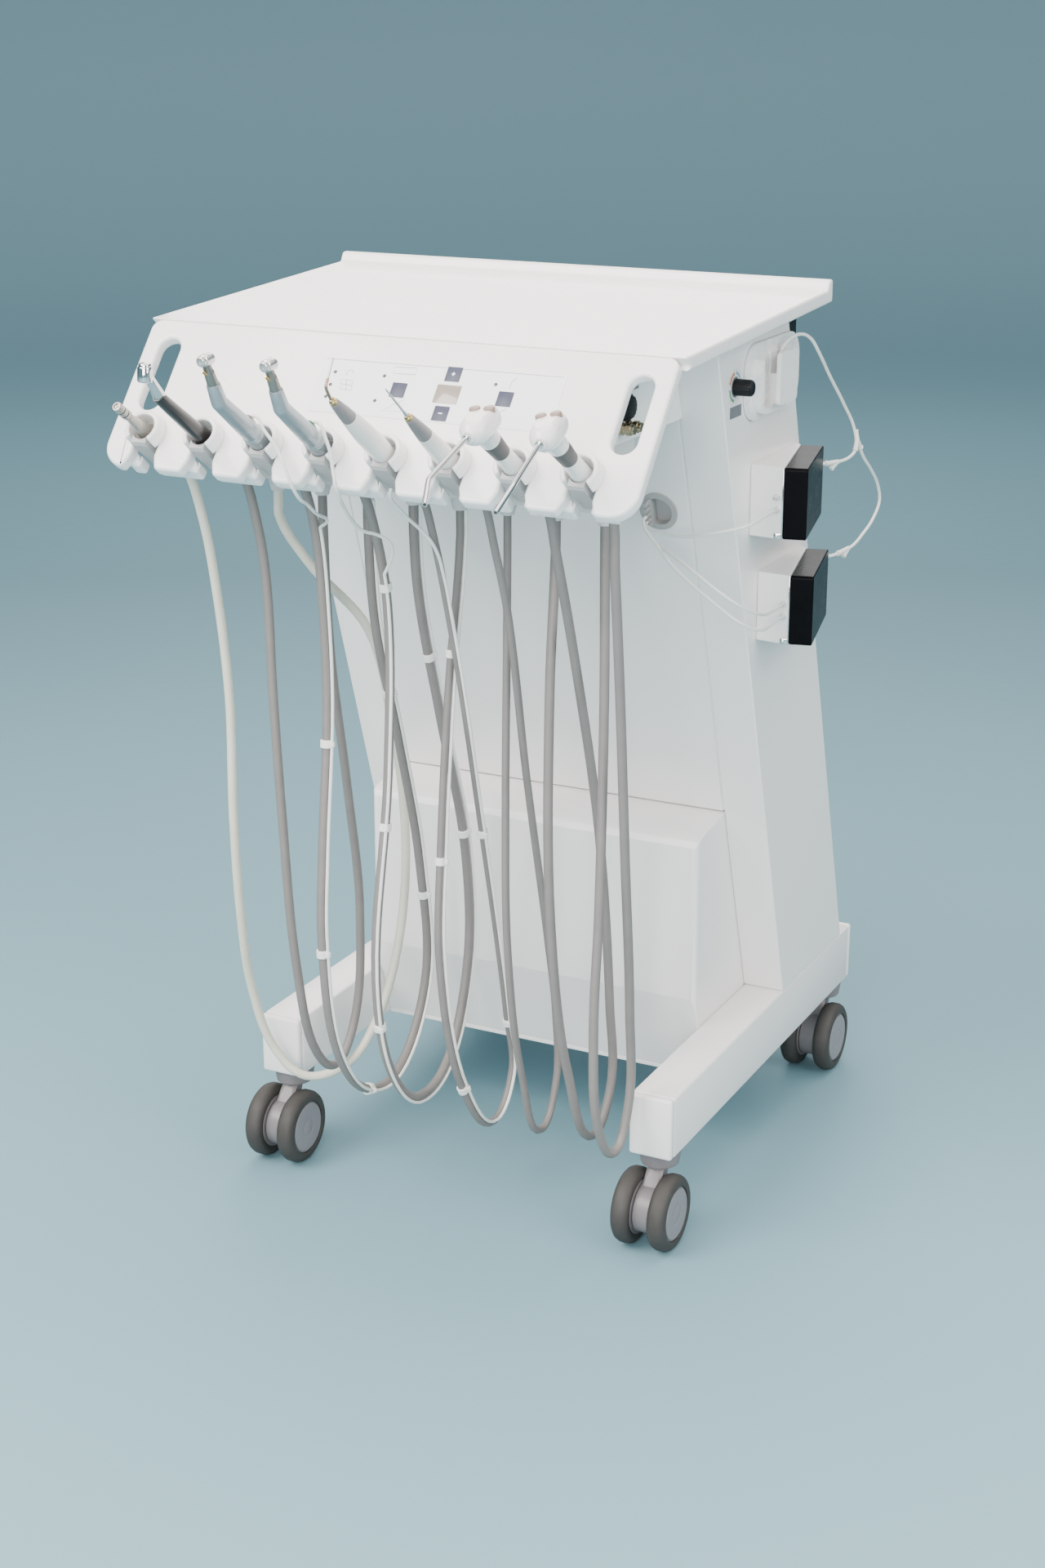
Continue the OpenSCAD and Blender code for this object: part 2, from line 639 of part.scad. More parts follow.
module castor() {
    translate([0, 0, beam_z - seat]) {
        translate([0, 0, 0]) cylinder(r = stem_r, h = stem_len);
        translate([0, 0, -cup_h]) cylinder(r1 = cup_r - 2, r2 = cup_r, h = cup_h);
    }
    // Neck that carries the drum between the wheels
    difference() {
        union() {
            hull() {
                translate([0, 0, beam_z - cup_h - seat]) cylinder(r = 9, h = 2, $fn = 32);
                translate([0, -castor_trail, wheel_r + drum_r / 2]) rotate([0, 90, 0])
                    cylinder(r = 9, h = wheel_gap - 2 * seat, center = true, $fn = 32);
            }
            translate([0, -castor_trail, wheel_r]) rotate([0, 90, 0])
                cylinder(r = drum_r, h = wheel_gap - 2 * seat, center = true);
        }
        translate([0, -castor_trail, wheel_r]) rotate([0, 90, 0])
            cylinder(r = axle_r + fit, h = wheel_gap + 2, center = true);
    }
}

module wheels() translate([0, -castor_trail, wheel_r]) rotate([0, 90, 0]) {
    cylinder(r = axle_r, h = wheel_gap + 2, center = true);
    for (side = [0, 1]) mirror([0, 0, side]) translate([0, 0, wheel_gap / 2])
        rotate_extrude() polygon([[0, 0], [wheel_r - 6, 0], [wheel_r - 2, 2], [wheel_r, 6],
            [wheel_r, wheel_w - 6], [wheel_r - 2, wheel_w - 2], [wheel_r - 6, wheel_w],
            [wheel_r * 0.72, wheel_w], [wheel_r * 0.7, wheel_w - 1.5], [0, wheel_w - 1.5]]);
}

module front_left_castor() cart() color("gray") translate([-castor_x, front_castor_y, 0]) castor();

module front_right_castor() cart() color("gray") translate([castor_x, front_castor_y, 0]) castor();

module rear_left_castor() cart() color("gray") translate([-castor_x, rear_castor_y, 0]) castor();

module rear_right_castor() cart() color("gray") translate([castor_x, rear_castor_y, 0]) castor();

module front_left_wheels() cart() color("darkslategray") translate([-castor_x, front_castor_y, 0]) wheels();

module front_right_wheels() cart() color("darkslategray") translate([castor_x, front_castor_y, 0]) wheels();

module rear_left_wheels() cart() color("darkslategray") translate([-castor_x, rear_castor_y, 0]) wheels();

module rear_right_wheels() cart() color("darkslategray") translate([castor_x, rear_castor_y, 0]) wheels();

// ---- Instruments: each lies in its holder, its tail behind the console ----

// A turned body of [radius, height] points above the tail
module turned(points) rotate_extrude() polygon(concat(
    [[0, -tail_back], [tail_r - 1, -tail_back], [tail_r, -tail_back + 2], [tail_r, -6]],
    points, [[0, points[len(points) - 1][1]]]));

module air_coupling() cart() color("cornsilk") on_holder(0) difference() {
    turned([[7, 1], [6.3, 11], [3.6, 30], [3.5, 34], [4.3, 36], [4.3, 52], [3.7, 53.5]]);
    translate([0, 0, 46]) cylinder(r = 1.2, h = 10);
    for (a = [0:120:359]) rotate([0, 0, a]) translate([2.4, 0, 48]) cylinder(r = 0.6, h = 10);
}

module turbine_handpiece() cart() color("dimgray") on_holder(1) {
    turned([[8.3, 1], [7.8, 6], [6.9, 22], [6.3, 42], [5.8, 62], [5.3, 80]]);
    // Tapering neck, and the head set square to it
    translate([0, 0.5, 78]) rotate([-17, 0, 0]) cylinder(r1 = 5, r2 = 3.6, h = 26);
    translate([0, 8, 107]) rotate([-60, 0, 0]) difference() {
        rotate_extrude() polygon([[0, -8], [4.5, -8], [6.2, -6], [6.2, 4], [5.2, 6.5], [3.4, 8], [0, 8]]);
        translate([0, 0, -9]) cylinder(r = 1.3, h = 6);
    }
}

module contra_angle(i) cart() color("silver") on_holder(i) {
    turned([[9, 3], [8.6, 20], [8.9, 21], [8.9, 24], [8.2, 25], [7.8, 44], [7.2, 66], [6.8, 80]]);
    translate([0, 0, 80]) sphere(r = 6.8);
    translate([0, 0, 80]) rotate([-28, 0, 0]) {
        rotate_extrude() polygon([[0, 0], [6.7, 0], [5.6, 18], [4.7, 19], [4.3, 30], [3.6, 31],
            [3.6, 38], [0, 38]]);
        // Head with push-button cap and bur socket, and a spray nozzle under it
        translate([0, 1, 40]) rotate([68, 0, 0]) difference() {
            rotate_extrude() polygon([[0, -8], [3.6, -8], [5, -6.5], [5, 4], [4.2, 4.6], [4.2, 7],
                [3.2, 8], [0, 8]]);
            translate([0, 0, 3]) cylinder(r = 1.2, h = 8);
        }
        translate([0, -3.6, 29]) rotate([30, 0, 0]) cylinder(r = 1.3, h = 7);
    }
    // Clip for the spray tube
    translate([0, 8.5, 34]) rounded_box([4, 8, 8], 1);
}

module contra_angle_1() contra_angle(2);

module contra_angle_2() contra_angle(3);

module scaler_1() cart() color("whitesmoke") on_holder(4) {
    turned([[9, 3], [9, 12], [9.4, 16], [8.9, 46], [6.6, 74], [6.3, 75], [3.8, 100], [3.2, 101], [3.2, 103],
        [2, 104], [1.6, 106]]);
    // Bent working tip
    translate([0, 0, 105]) rotate([-18, 0, 0]) cylinder(r1 = 1.6, r2 = 1.2, h = 13);
    translate([0, 4, 117.4]) sphere(r = 1.2);
    translate([0, 4, 117.4]) rotate([-88, 0, 0]) cylinder(r1 = 1.2, r2 = 0.5, h = 25);
}

module scaler_2() cart() color("whitesmoke") on_holder(5) {
    turned([[9, 2], [8.8, 8], [8, 31], [6.6, 54], [6.3, 55], [3.8, 83], [3.2, 84], [3.2, 86], [2, 87],
        [1.6, 89]]);
    translate([0, 0, 88]) rotate([-3, 0, 0]) cylinder(r1 = 1.6, r2 = 0.5, h = 42);
}

// Frame of a syringe's head: Z towards the nozzle, Y towards the buttons
module on_head() translate([0, 2, 78]) rotate([49.6, 0, 0]) children();
turns = [6, 14];
module on_syringe(k) on_holder(6 + k) rotate([0, 0, turns[k]]) children();
button_r = 4.5;
button_gap = 12;
button_z = -9;
head_top = 9.5;
travel = 1.5;
nozzle_r = 2.1;
nozzle_z = 18;
module syringe(k) cart() color("whitesmoke") on_syringe(k) {
    turned([[8.4, 4], [7.8, 20], [7.4, 34], [8.7, 57], [8.7, 70]]);
    on_head() difference() {
        intersection() {
            rotate_extrude() polygon([[0, -17.5], [9.5, -17.5], [11.6, -15.5], [12.2, -12], [12.2, 8],
                [11.2, 14], [8.4, 19], [5.2, 22], [4.6, 24.5], [0, 24.5]]);
            // Flat top under the buttons, and flattened sides
            translate([0, head_top - 20, 0]) cube([23, 40, 60], center = true);
        }
        for (x = [-0.5, 0.5]) translate([x * button_gap, head_top + 1, button_z]) rotate([90, 0, 0])
            cylinder(r = button_r + fit, h = 6);
        translate([0, 1, nozzle_z]) cylinder(r = nozzle_r + fit, h = 10);
    }
}

module button(k, side) cart() color("peru") on_syringe(k) on_head()
    translate([side * button_gap / 2, head_top + travel, button_z]) rotate([90, 0, 0])
        cylinder(r = button_r, h = 5 - seat);

// The nozzle turns in the head; its end is bent
module nozzle(k, turn) cart() color("silver") on_syringe(k) on_head()
    translate([0, 1, nozzle_z + 0.2]) rotate([0, 0, turn]) {
        cylinder(r = nozzle_r, h = 80);
        translate([0, 0, 7]) cylinder(r = 3.2, h = 3);
        translate([0, 0, 80]) sphere(r = nozzle_r);
        translate([0, 0, 80]) rotate([-20, 0, 0]) cylinder(r = nozzle_r, h = 30);
    }

module syringe_1() syringe(0);

module syringe_2() syringe(1);

module syringe_1_air_button() button(0, -1);

module syringe_1_water_button() button(0, 1);

module syringe_2_air_button() button(1, -1);

module syringe_2_water_button() button(1, 1);

module syringe_1_nozzle() nozzle(0, -134);

module syringe_2_nozzle() nozzle(1, 134);

// ---- Hoses: from each instrument's tail down in a loop and up to its outlet ----

// Two points that lead straight out of the tail of the instrument at station i
function tail_point(i, out) = [
    station_x(i),
    worktop_front - holder_s * cos(console_slope) + (tail_back + out) * sin(console_slope + holder_tilt),
    worktop_z - holder_s * sin(console_slope) - (tail_back + out) * cos(console_slope + holder_tilt),
];
function outlet_point(i, down) = [outlet_x(i), outlet_y, outlet_z - down];
function hose_route(i, middle) = concat(
    [tail_point(i, 0.1), tail_point(i, 8), tail_point(i, 18)], middle,
    [outlet_point(i, 22), outlet_point(i, 10), outlet_point(i, 0)]);

hose_middle = [
    [[-206, -250, 662], [-204, -239, 610], [-200, -228, 492], [-198, -232, 378], [-202, -220, 272],
        [-206, -200, 192], [-190, -188, 127], [-162, -178, 100], [-130, -150, 110], [-112, -120, 154],
        [-102, -100, 217], [-100, -85, 297], [-103, -85, 379], [-105, -95, 432], [-110, -130, 542],
        [-142, -181, 614]],
    [[-148, -252, 662], [-147, -243, 617], [-144, -242, 505], [-140, -240, 390], [-135, -232, 243],
        [-133, -204, 142], [-132, -170, 116], [-130, -142, 142], [-127, -128, 256], [-123, -153, 397],
        [-119, -183, 531]],
    [[-92, -248, 662], [-90, -241, 586], [-88, -242, 502], [-85, -262, 366], [-83, -270, 292],
        [-81, -252, 174], [-80, -205, 116], [-80, -145, 108], [-78, -90, 180], [-76, -100, 306],
        [-73, -144, 450], [-71, -185, 568]],
    [[-34, -244, 662], [-33, -228, 596], [-31, -236, 443], [-30, -266, 262], [-29, -246, 165],
        [-28, -200, 116], [-28, -146, 122], [-27, -98, 211], [-26, -102, 331], [-25, -149, 473],
        [-24, -190, 602]],
    [[24, -246, 662], [25, -224, 595], [26, -202, 517], [27, -172, 395], [26, -134, 252],
        [24, -114, 176], [24, -104, 112], [23, -140, 76], [19, -195, 132], [15, -230, 274],
        [13, -221, 379], [14, -206, 518]],
    [[82, -248, 662], [81, -223, 602], [79, -183, 444], [77, -135, 271], [76, -115, 187],
        [76, -114, 117], [75, -142, 80], [74, -182, 152], [73, -209, 291], [70, -206, 422],
        [68, -199, 562]],
    [[140, -250, 662], [137, -210, 570], [133, -146, 387], [130, -112, 207], [128, -104, 117],
        [127, -138, 84], [125, -190, 167], [122, -222, 328], [118, -217, 534]],
    [[198, -262, 657], [193, -238, 549], [188, -212, 396], [184, -188, 242], [181, -182, 142],
        [178, -204, 108], [175, -232, 142], [172, -238, 235], [170, -225, 346], [165, -208, 531]],
];
slim_hoses = [0, 0, 0, 0, 1, 1, 0, 0];
module hose(i) cart() color("darkgray")
    tube(hose_route(i, hose_middle[i]), (slim_hoses[i] > 0 ? slim_hose_d : hose_d) / 2, 8, 3);

module hose_1() hose(0);

module hose_2() hose(1);

module hose_3() hose(2);

module hose_4() hose(3);

module hose_5() hose(4);

module hose_6() hose(5);

module hose_7() hose(6);

module hose_8() hose(7);

// Thin tubes that carry spray to the two contra-angles and the first scaler
spray_routes = [
    [[-89.8, -342.9, 774.3], [-87.4, -342.9, 774.3], [-83.7, -342.5, 771.9], [-80, -343.5, 765],
        [-71, -346, 757], [-62, -348, 746],
        [-55, -351, 735], [-50, -350, 722], [-50, -340, 710], [-56, -318, 700], [-61, -295, 687],
        [-66, -272, 678], [-74, -258, 671], [-86, -249, 664]],
    [[-31.8, -342.9, 774.3], [-29.4, -342.9, 774.3], [-25.7, -342.5, 771.9], [-21, -343, 761],
        [-16, -345, 751], [-13, -347, 739],
        [-10, -348, 726], [-12, -339, 714], [-18, -324, 704], [-24, -300, 686], [-25, -280, 673],
        [-20, -265, 667], [-15, -255, 660], [-16, -247, 648], [-22, -242, 638], [-29.6, -238, 626.5]],
    [[24, -319, 720], [21, -314, 712], [20, -300, 701], [21, -285, 689], [24, -270, 677],
        [28, -258, 664], [29.6, -249, 650], [29, -241, 635], [28.9, -234.6, 620]],
];
module spray_tubes() cart() color("gainsboro") for (route = spray_routes)
    tube(route, thin_tube_d / 2, 8, 3);

// Thin irrigation tubes: from the grommet to the pumps, and from the pumps to the pocket
irrigation_routes = [
    [[226, 24, 781.3], [226, 24, 798], [230, 34, 808], [235, 54, 810], [238, 68, 804], [240, 84, 790],
        [240, 116, 764], [243, 150, 733], [247, 172, 705], [250, 168, 690], [250, 150, 684],
        [244, 125, 683], [235, 104, 684], [233.4, 98, 684], [235.2, 89.8, 684]],
    [[250, 171, 697], [251, 186, 680], [251, 215, 660], [250, 240, 640], [250, 246, 625],
        [250, 230, 611], [250, 200, 601], [250, 165, 595], [243, 142, 592], [235, 129, 591],
        [233.4, 123, 591], [235.2, 114.8, 591]],
    [[139, -65.3, 653.7], [139.5, -69, 652.5], [150, -75, 650], [180, -88, 650], [218, -97, 659], [240, -84, 664],
        [245, -60, 667], [246, -44, 668], [246, -29, 667.9]],
    [[139, -63.6, 648.5], [139.5, -67, 647.3], [150, -74, 640], [170, -86, 634], [195, -100, 626], [216, -103, 614],
        [236, -98, 600], [246, -76, 587], [246, -45, 578], [246, -20, 577], [246, -4, 577.4]],
    [[139, -67.1, 659], [138.5, -71, 657.5], [142, -76, 651], [154, -80, 640], [170, -83, 624], [192, -88, 609], [216, -90, 594],
        [236, -82, 578], [247, -62, 568], [246, -36, 565], [246, -16, 566], [246, -4, 565.9]],
];
module irrigation_tubes() cart() color("gainsboro") for (route = irrigation_routes)
    tube(route, thin_tube_d / 2, 8, 3);

// ---- Assembly ----

left_beam();
right_beam();
base_plate();
left_column();
right_column();
front_panel();
lower_cover();
rear_panel();
worktop();
console_plate();
console_box();
hose_manifold();
control_panel();
holder_rings();
holder_forks();
pump_housings();
tube_pocket();
tube_grommet();
air_connectors();
rear_bracket();
inner_units();
side_knob();
flow_knob();
upper_pump_cover();
lower_pump_cover();
upper_pump_rotor();
lower_pump_rotor();
front_left_castor();
front_right_castor();
rear_left_castor();
rear_right_castor();
front_left_wheels();
front_right_wheels();
rear_left_wheels();
rear_right_wheels();
air_coupling();
turbine_handpiece();
contra_angle_1();
contra_angle_2();
scaler_1();
scaler_2();
syringe_1();
syringe_2();
syringe_1_air_button();
syringe_1_water_button();
syringe_2_air_button();
syringe_2_water_button();
syringe_1_nozzle();
syringe_2_nozzle();
hose_1();
hose_2();
hose_3();
hose_4();
hose_5();
hose_6();
hose_7();
hose_8();
spray_tubes();
irrigation_tubes();
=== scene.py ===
"""Portable dental cart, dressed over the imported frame: metres, +X the user's right, floor at Z = 0."""
import json
from math import cos, pi, radians, sin

import bmesh
import bpy
from mathutils import Matrix, Vector

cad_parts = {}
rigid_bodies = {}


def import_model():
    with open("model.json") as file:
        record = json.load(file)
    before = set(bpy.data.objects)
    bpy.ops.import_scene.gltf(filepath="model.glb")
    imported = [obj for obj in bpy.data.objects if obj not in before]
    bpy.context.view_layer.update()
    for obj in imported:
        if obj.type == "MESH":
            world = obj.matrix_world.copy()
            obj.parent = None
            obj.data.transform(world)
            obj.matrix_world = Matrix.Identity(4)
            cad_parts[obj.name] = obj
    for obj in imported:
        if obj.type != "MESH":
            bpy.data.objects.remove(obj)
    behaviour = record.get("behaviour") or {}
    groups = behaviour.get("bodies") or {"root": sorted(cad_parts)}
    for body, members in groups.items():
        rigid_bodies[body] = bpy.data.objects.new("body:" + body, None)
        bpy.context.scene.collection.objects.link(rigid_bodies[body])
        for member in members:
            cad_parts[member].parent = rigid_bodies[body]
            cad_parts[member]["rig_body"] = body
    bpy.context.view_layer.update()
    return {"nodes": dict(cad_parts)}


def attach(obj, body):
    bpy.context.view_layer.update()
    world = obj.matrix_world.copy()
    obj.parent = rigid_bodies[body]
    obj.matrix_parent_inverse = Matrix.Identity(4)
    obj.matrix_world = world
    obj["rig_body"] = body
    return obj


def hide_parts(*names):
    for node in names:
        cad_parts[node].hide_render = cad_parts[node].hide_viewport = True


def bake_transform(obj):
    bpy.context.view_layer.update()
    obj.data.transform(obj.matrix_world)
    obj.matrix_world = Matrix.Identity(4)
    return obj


for leftover in list(bpy.data.objects):
    bpy.data.objects.remove(leftover)
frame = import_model()

# ---- Materials: sockets as numbers ----
# Every finish on the cart is sprayed, moulded or plated, so each varies a little over its
# surface. Value makes such a variation from Python's operators, Finish holds the shader.


class Value:
    """A number that varies over a surface; operators on it add Math nodes."""

    def __init__(self, finish, socket):
        self.finish, self.socket = finish, socket

    def math(self, operation, first, second):
        return self.finish.node("ShaderNodeMath", {"operation": operation}, {0: first, 1: second})

    def __add__(self, other):
        return self.math("ADD", self, other)

    def __sub__(self, other):
        return self.math("SUBTRACT", self, other)

    def __rsub__(self, other):
        return self.math("SUBTRACT", other, self)

    def __mul__(self, other):
        return self.math("MULTIPLY", self, other)

    def __pow__(self, other):
        return self.math("POWER", self, other)

    def __gt__(self, other):
        return self.math("GREATER_THAN", self, other)

    __radd__ = __add__
    __rmul__ = __mul__


class Finish:
    """A material: what is the same all over sits on its shader, what varies comes through nodes."""

    def __init__(self, name, **constants):
        self.material = bpy.data.materials.new(name)
        self.material.use_nodes = True
        tree = self.material.node_tree
        self.nodes, self.links = tree.nodes, tree.links
        self.shader = self.nodes["Principled BSDF"]
        self.fill(self.shader, {key.replace("_", " "): value for key, value in constants.items()})

    def fill(self, node, sockets):
        for key, value in sockets.items():
            if isinstance(value, Value):
                self.links.new(value.socket, node.inputs[key])
            else:
                node.inputs[key].default_value = value

    def node(self, kind, settings=None, sockets=None, output=0):
        made = self.nodes.new(kind)
        for key, value in (settings or {}).items():
            if key == "stops":
                ramp = made.color_ramp.elements
                while len(ramp) < len(value):
                    ramp.new(1.0)
                for stop, (at, colour) in zip(ramp, value):
                    stop.position, stop.color = at, (*colour, 1)
            else:
                setattr(made, key, value)
        self.fill(made, sockets or {})
        return Value(self, made.outputs[output])

    def where(self, axis=None):
        """The place on the piece in metres, or one coordinate of it."""
        place = self.node("ShaderNodeTexCoord", output="Object")
        return place if axis is None else self.node("ShaderNodeSeparateXYZ", None, {0: place}, axis)

    def grain(self, scale, detail=3.0, stretch=None):
        """Noise with that many cells to the metre, drawn out along an axis by stretch."""
        place = self.where()
        if stretch:
            place = self.node("ShaderNodeVectorMath", {"operation": "MULTIPLY"}, {0: place, 1: stretch})
        return self.node("ShaderNodeTexNoise", None, {"Vector": place, "Scale": scale, "Detail": detail})

    def between(self, share, low, high):
        """Colour low where share is 0 and high where it is 1."""
        return self.node("ShaderNodeMix", {"data_type": "RGBA"}, {0: share, 6: (*low, 1), 7: (*high, 1)}, 2)

    def show(self, colour, roughness=None, height=None, depth=0.0002, strength=0.4):
        sockets = {"Base Color": colour}
        if roughness is not None:
            sockets["Roughness"] = roughness
        if height is not None:
            sockets["Normal"] = self.node("ShaderNodeBump", None, {
                "Strength": strength, "Distance": depth, "Height": height})
        self.fill(self.shader, sockets)
        return self

    def vary(self, patches, low, high, sheen, bump=None):
        """Patches of colour from low to high, by their cells to the metre and detail; sheen is the
        roughness, its spread and its cells; bump is cells, detail, depth in metres and strength."""
        rough, spread, cells = sheen
        colour, uneven = self.between(self.grain(*patches), low, high), rough + self.grain(cells) * spread
        if bump is None:
            return self.show(colour, uneven)
        return self.show(colour, uneven, self.grain(*bump[:2]), *bump[2:])


# ---- Studio ----
# A seamless teal cove whose colour carries painted light and shade, paler near the lens and darker beyond
# the cart, under five soft boxes and pale air.
# The lens stands where the photograph was taken, to the right of the cart and above it.

camera = bpy.data.objects.new("camera", bpy.data.cameras.new("camera"))
camera.location = (0.97988, -1.91455, 1.1256)
camera.rotation_euler = (radians(71.339), 0, radians(26.612))
camera.data.lens = 56.087
bpy.context.scene.collection.objects.link(camera)
bpy.context.scene.camera = camera


def ring_of(radius, height, segments, place=Matrix()):
    return [place @ Vector((radius * cos(2 * pi * k / segments), radius * sin(2 * pi * k / segments),
                            height))
            for k in range(segments)]


def skin(bm, rings, closed=True):
    """Faces between rings of points; a ring of one point closes the form."""
    made = [[bm.verts.new(p) for p in ring] for ring in rings]
    for low, high in zip(made, made[1:]):
        n = max(len(low), len(high))
        for k in range(n if closed else n - 1):
            corners = [low[k % len(low)], low[(k + 1) % len(low)], high[(k + 1) % len(high)],
                       high[k % len(high)]]
            unique = list(dict.fromkeys(corners))
            if len(unique) > 2:
                bm.faces.new(unique)
    return made


cove = bmesh.new()
skin(cove, [ring_of(r, z, 96) if r else [Vector((0, 0, 0))] for r, z in (
    (0, 0), (2, 0), (5.4, 0), (5.9, 0.06), (6.4, 0.24), (6.8, 0.55), (7, 0.9), (7.1, 1.6), (7.1, 4.4))])
cove_mesh = bpy.data.meshes.new("cove")
cove.to_mesh(cove_mesh)
cove.free()
for face in cove_mesh.polygons:
    face.use_smooth = True
backdrop = bpy.data.objects.new("cove", cove_mesh)
bpy.context.scene.collection.objects.link(backdrop)
teal = Finish("teal_paper", Roughness=0.75)
# Distance from the lens along its line of sight, in metres, and the paper's mottling; the ramp over it is
# painted light falloff: pale near the lens, painted shade on the floor behind the cart, paler again up the
# wall
ahead = teal.where(0) * -0.448 + teal.where(1) * 0.894 + 2.15
painted_light_falloff = teal.node("ShaderNodeValToRGB", {"stops": (
    (0.13, (0.20, 0.345, 0.40)), (0.29, (0.125, 0.245, 0.29)), (0.46, (0.072, 0.155, 0.19)),
    (0.68, (0.095, 0.20, 0.245)), (0.92, (0.13, 0.235, 0.285)))},
    {0: (ahead + (teal.grain(1.3) - 0.5) * 0.3) * 0.1})
teal.show(painted_light_falloff, 0.7 + teal.grain(40) * 0.1, teal.grain(600), 0.0004, 0.15)
cove_mesh.materials.append(teal.material)

WARM_LIGHT, WARM_AIR, AIR_STRENGTH = (1.0, 0.95, 0.915), (1.0, 0.975, 0.95, 1), 1.35
for name, place, aim, size, power in (
        ("key_box", (-1.6, -2.6, 3.2), (0, 0, 0.5), 2.4, 250),
        ("front_box", (0.8, -3.5, 1.6), (0, 0, 0.4), 2.0, 150),
        ("side_box", (3.2, -0.9, 1.9), (0, 0, 0.5), 2.0, 80),
        ("top_box", (0.2, 0.6, 3.8), (0, 0, 0.4), 3.0, 110),
        ("back_box", (-1.5, 3.2, 2.4), (0, 0, 0.5), 2.0, 60)):
    lamp = bpy.data.objects.new(name, bpy.data.lights.new(name, "AREA"))
    lamp.data.size, lamp.data.energy = size, power
    lamp.data.color = WARM_LIGHT
    lamp.location = place
    lamp.rotation_euler = (Vector(aim) - Vector(place)).to_track_quat("-Z", "Y").to_euler()
    bpy.context.scene.collection.objects.link(lamp)
world = bpy.context.scene.world or bpy.data.worlds.new("studio_air")
bpy.context.scene.world = world
world.use_nodes = True
air = next(n for n in world.node_tree.nodes if n.type == "BACKGROUND")
air.inputs["Color"].default_value = WARM_AIR
air.inputs["Strength"].default_value = AIR_STRENGTH

# ---- Instrument hoses ----
# Eight silicone hoses, 8.5 mm and for the scalers 7 mm, moulded onto the instruments' tails.
# Each leaves its collar under the console, hangs in a loop and climbs to its instrument.

CENTRE_X, CENTRE_Y = 10.2226, -94.6507
CART = Matrix.Translation((-CENTRE_X / 1000, -CENTRE_Y / 1000, 0)) @ Matrix.Scale(0.001, 4)
INSTRUMENTS = ["air_coupling", "turbine_handpiece", "contra_angle_1", "contra_angle_2",
               "scaler_1", "scaler_2", "syringe_1", "syringe_2"]
SLOPE, TILT, HOLDER_S = 50.4, 4.5, 112


def move(x, y, z):
    return Matrix.Translation((x, y, z))


def about(axis, degrees):
    return Matrix.Rotation(radians(degrees), 4, axis)


CONSOLE = CART @ move(0, -250, 832) @ about("X", SLOPE)


def station_x(i):
    return (i - 3.5) * 58 - 5


def holder(i):
    """Frame of instrument i, in mm: Z along its axis, out of the ring."""
    return CONSOLE @ move(station_x(i), -HOLDER_S, 0) @ about("X", TILT)


def smooth_path(points, steps):
    """A curve through the points, its speed in each stretch the stretch's own length."""
    points = [Vector(p) for p in points]
    line = []
    for i in range(len(points) - 1):
        b, c = points[i], points[i + 1]
        a = points[i - 1] if i else 2 * b - c
        d = points[i + 2] if i + 2 < len(points) else 2 * c - b
        span = (c - b).length
        start = ((b - a).normalized() + (c - b).normalized()).normalized() * span
        finish = ((c - b).normalized() + (d - c).normalized()).normalized() * span
        for k in range(steps):
            t = k / steps
            line.append(b + start * t + (3 * (c - b) - 2 * start - finish) * t * t
                        + (start + finish - 2 * (c - b)) * t ** 3)
    return line + [points[-1]]


def length_of(line):
    return sum((q - p).length for p, q in zip(line, line[1:]))


def travelling_frames(line, first=(1, 0, 0)):
    """At each point: forward, and two directions across that turn as little as they can."""
    old, frames = Vector(first), []
    for i, p in enumerate(line):
        ahead_of = (line[min(i + 1, len(line) - 1)] - line[max(i - 1, 0)]).normalized()
        old = (old - old.dot(ahead_of) * ahead_of).normalized()
        frames.append((ahead_of, old, ahead_of.cross(old)))
    return frames


def sweep(bm, line, radius, sides=16, first=(1, 0, 0)):
    frames = travelling_frames(line, first)
    rings = [[p + radius * (u * cos(2 * pi * k / sides) + v * sin(2 * pi * k / sides)) for k in range(sides)]
             for p, (_, u, v) in zip(line, frames)]
    skin(bm, [[line[0]]] + rings + [[line[-1]]])


def piece(name, bm, finish, body, stands_for=(), sharp=35, blended=None):
    """The finished mesh as an object of the cart that rides on its body; given blended, it keeps its built
    place and rides on no body.
    """
    bmesh.ops.recalc_face_normals(bm, faces=bm.faces)
    mesh = bpy.data.meshes.new(name)
    bm.to_mesh(mesh)
    bm.free()
    for face in mesh.polygons:
        face.use_smooth = True
    mesh.set_sharp_from_angle(angle=radians(sharp))
    mesh.materials.append(finish.material)
    obj = bpy.data.objects.new(name, mesh)
    bpy.context.scene.collection.objects.link(obj)
    if blended:
        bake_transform(obj)
    else:
        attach(obj, body)
    if stands_for:
        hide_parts(*stands_for)
    return obj


def hose_finish(name, low, high, **constants):
    skin_of = Finish(name, **constants)
    return skin_of.show(skin_of.between(skin_of.grain(60, 4), low, high),
                        0.42 + skin_of.grain(200) * 0.14, skin_of.grain(900, 2), 0.0003, 0.25)


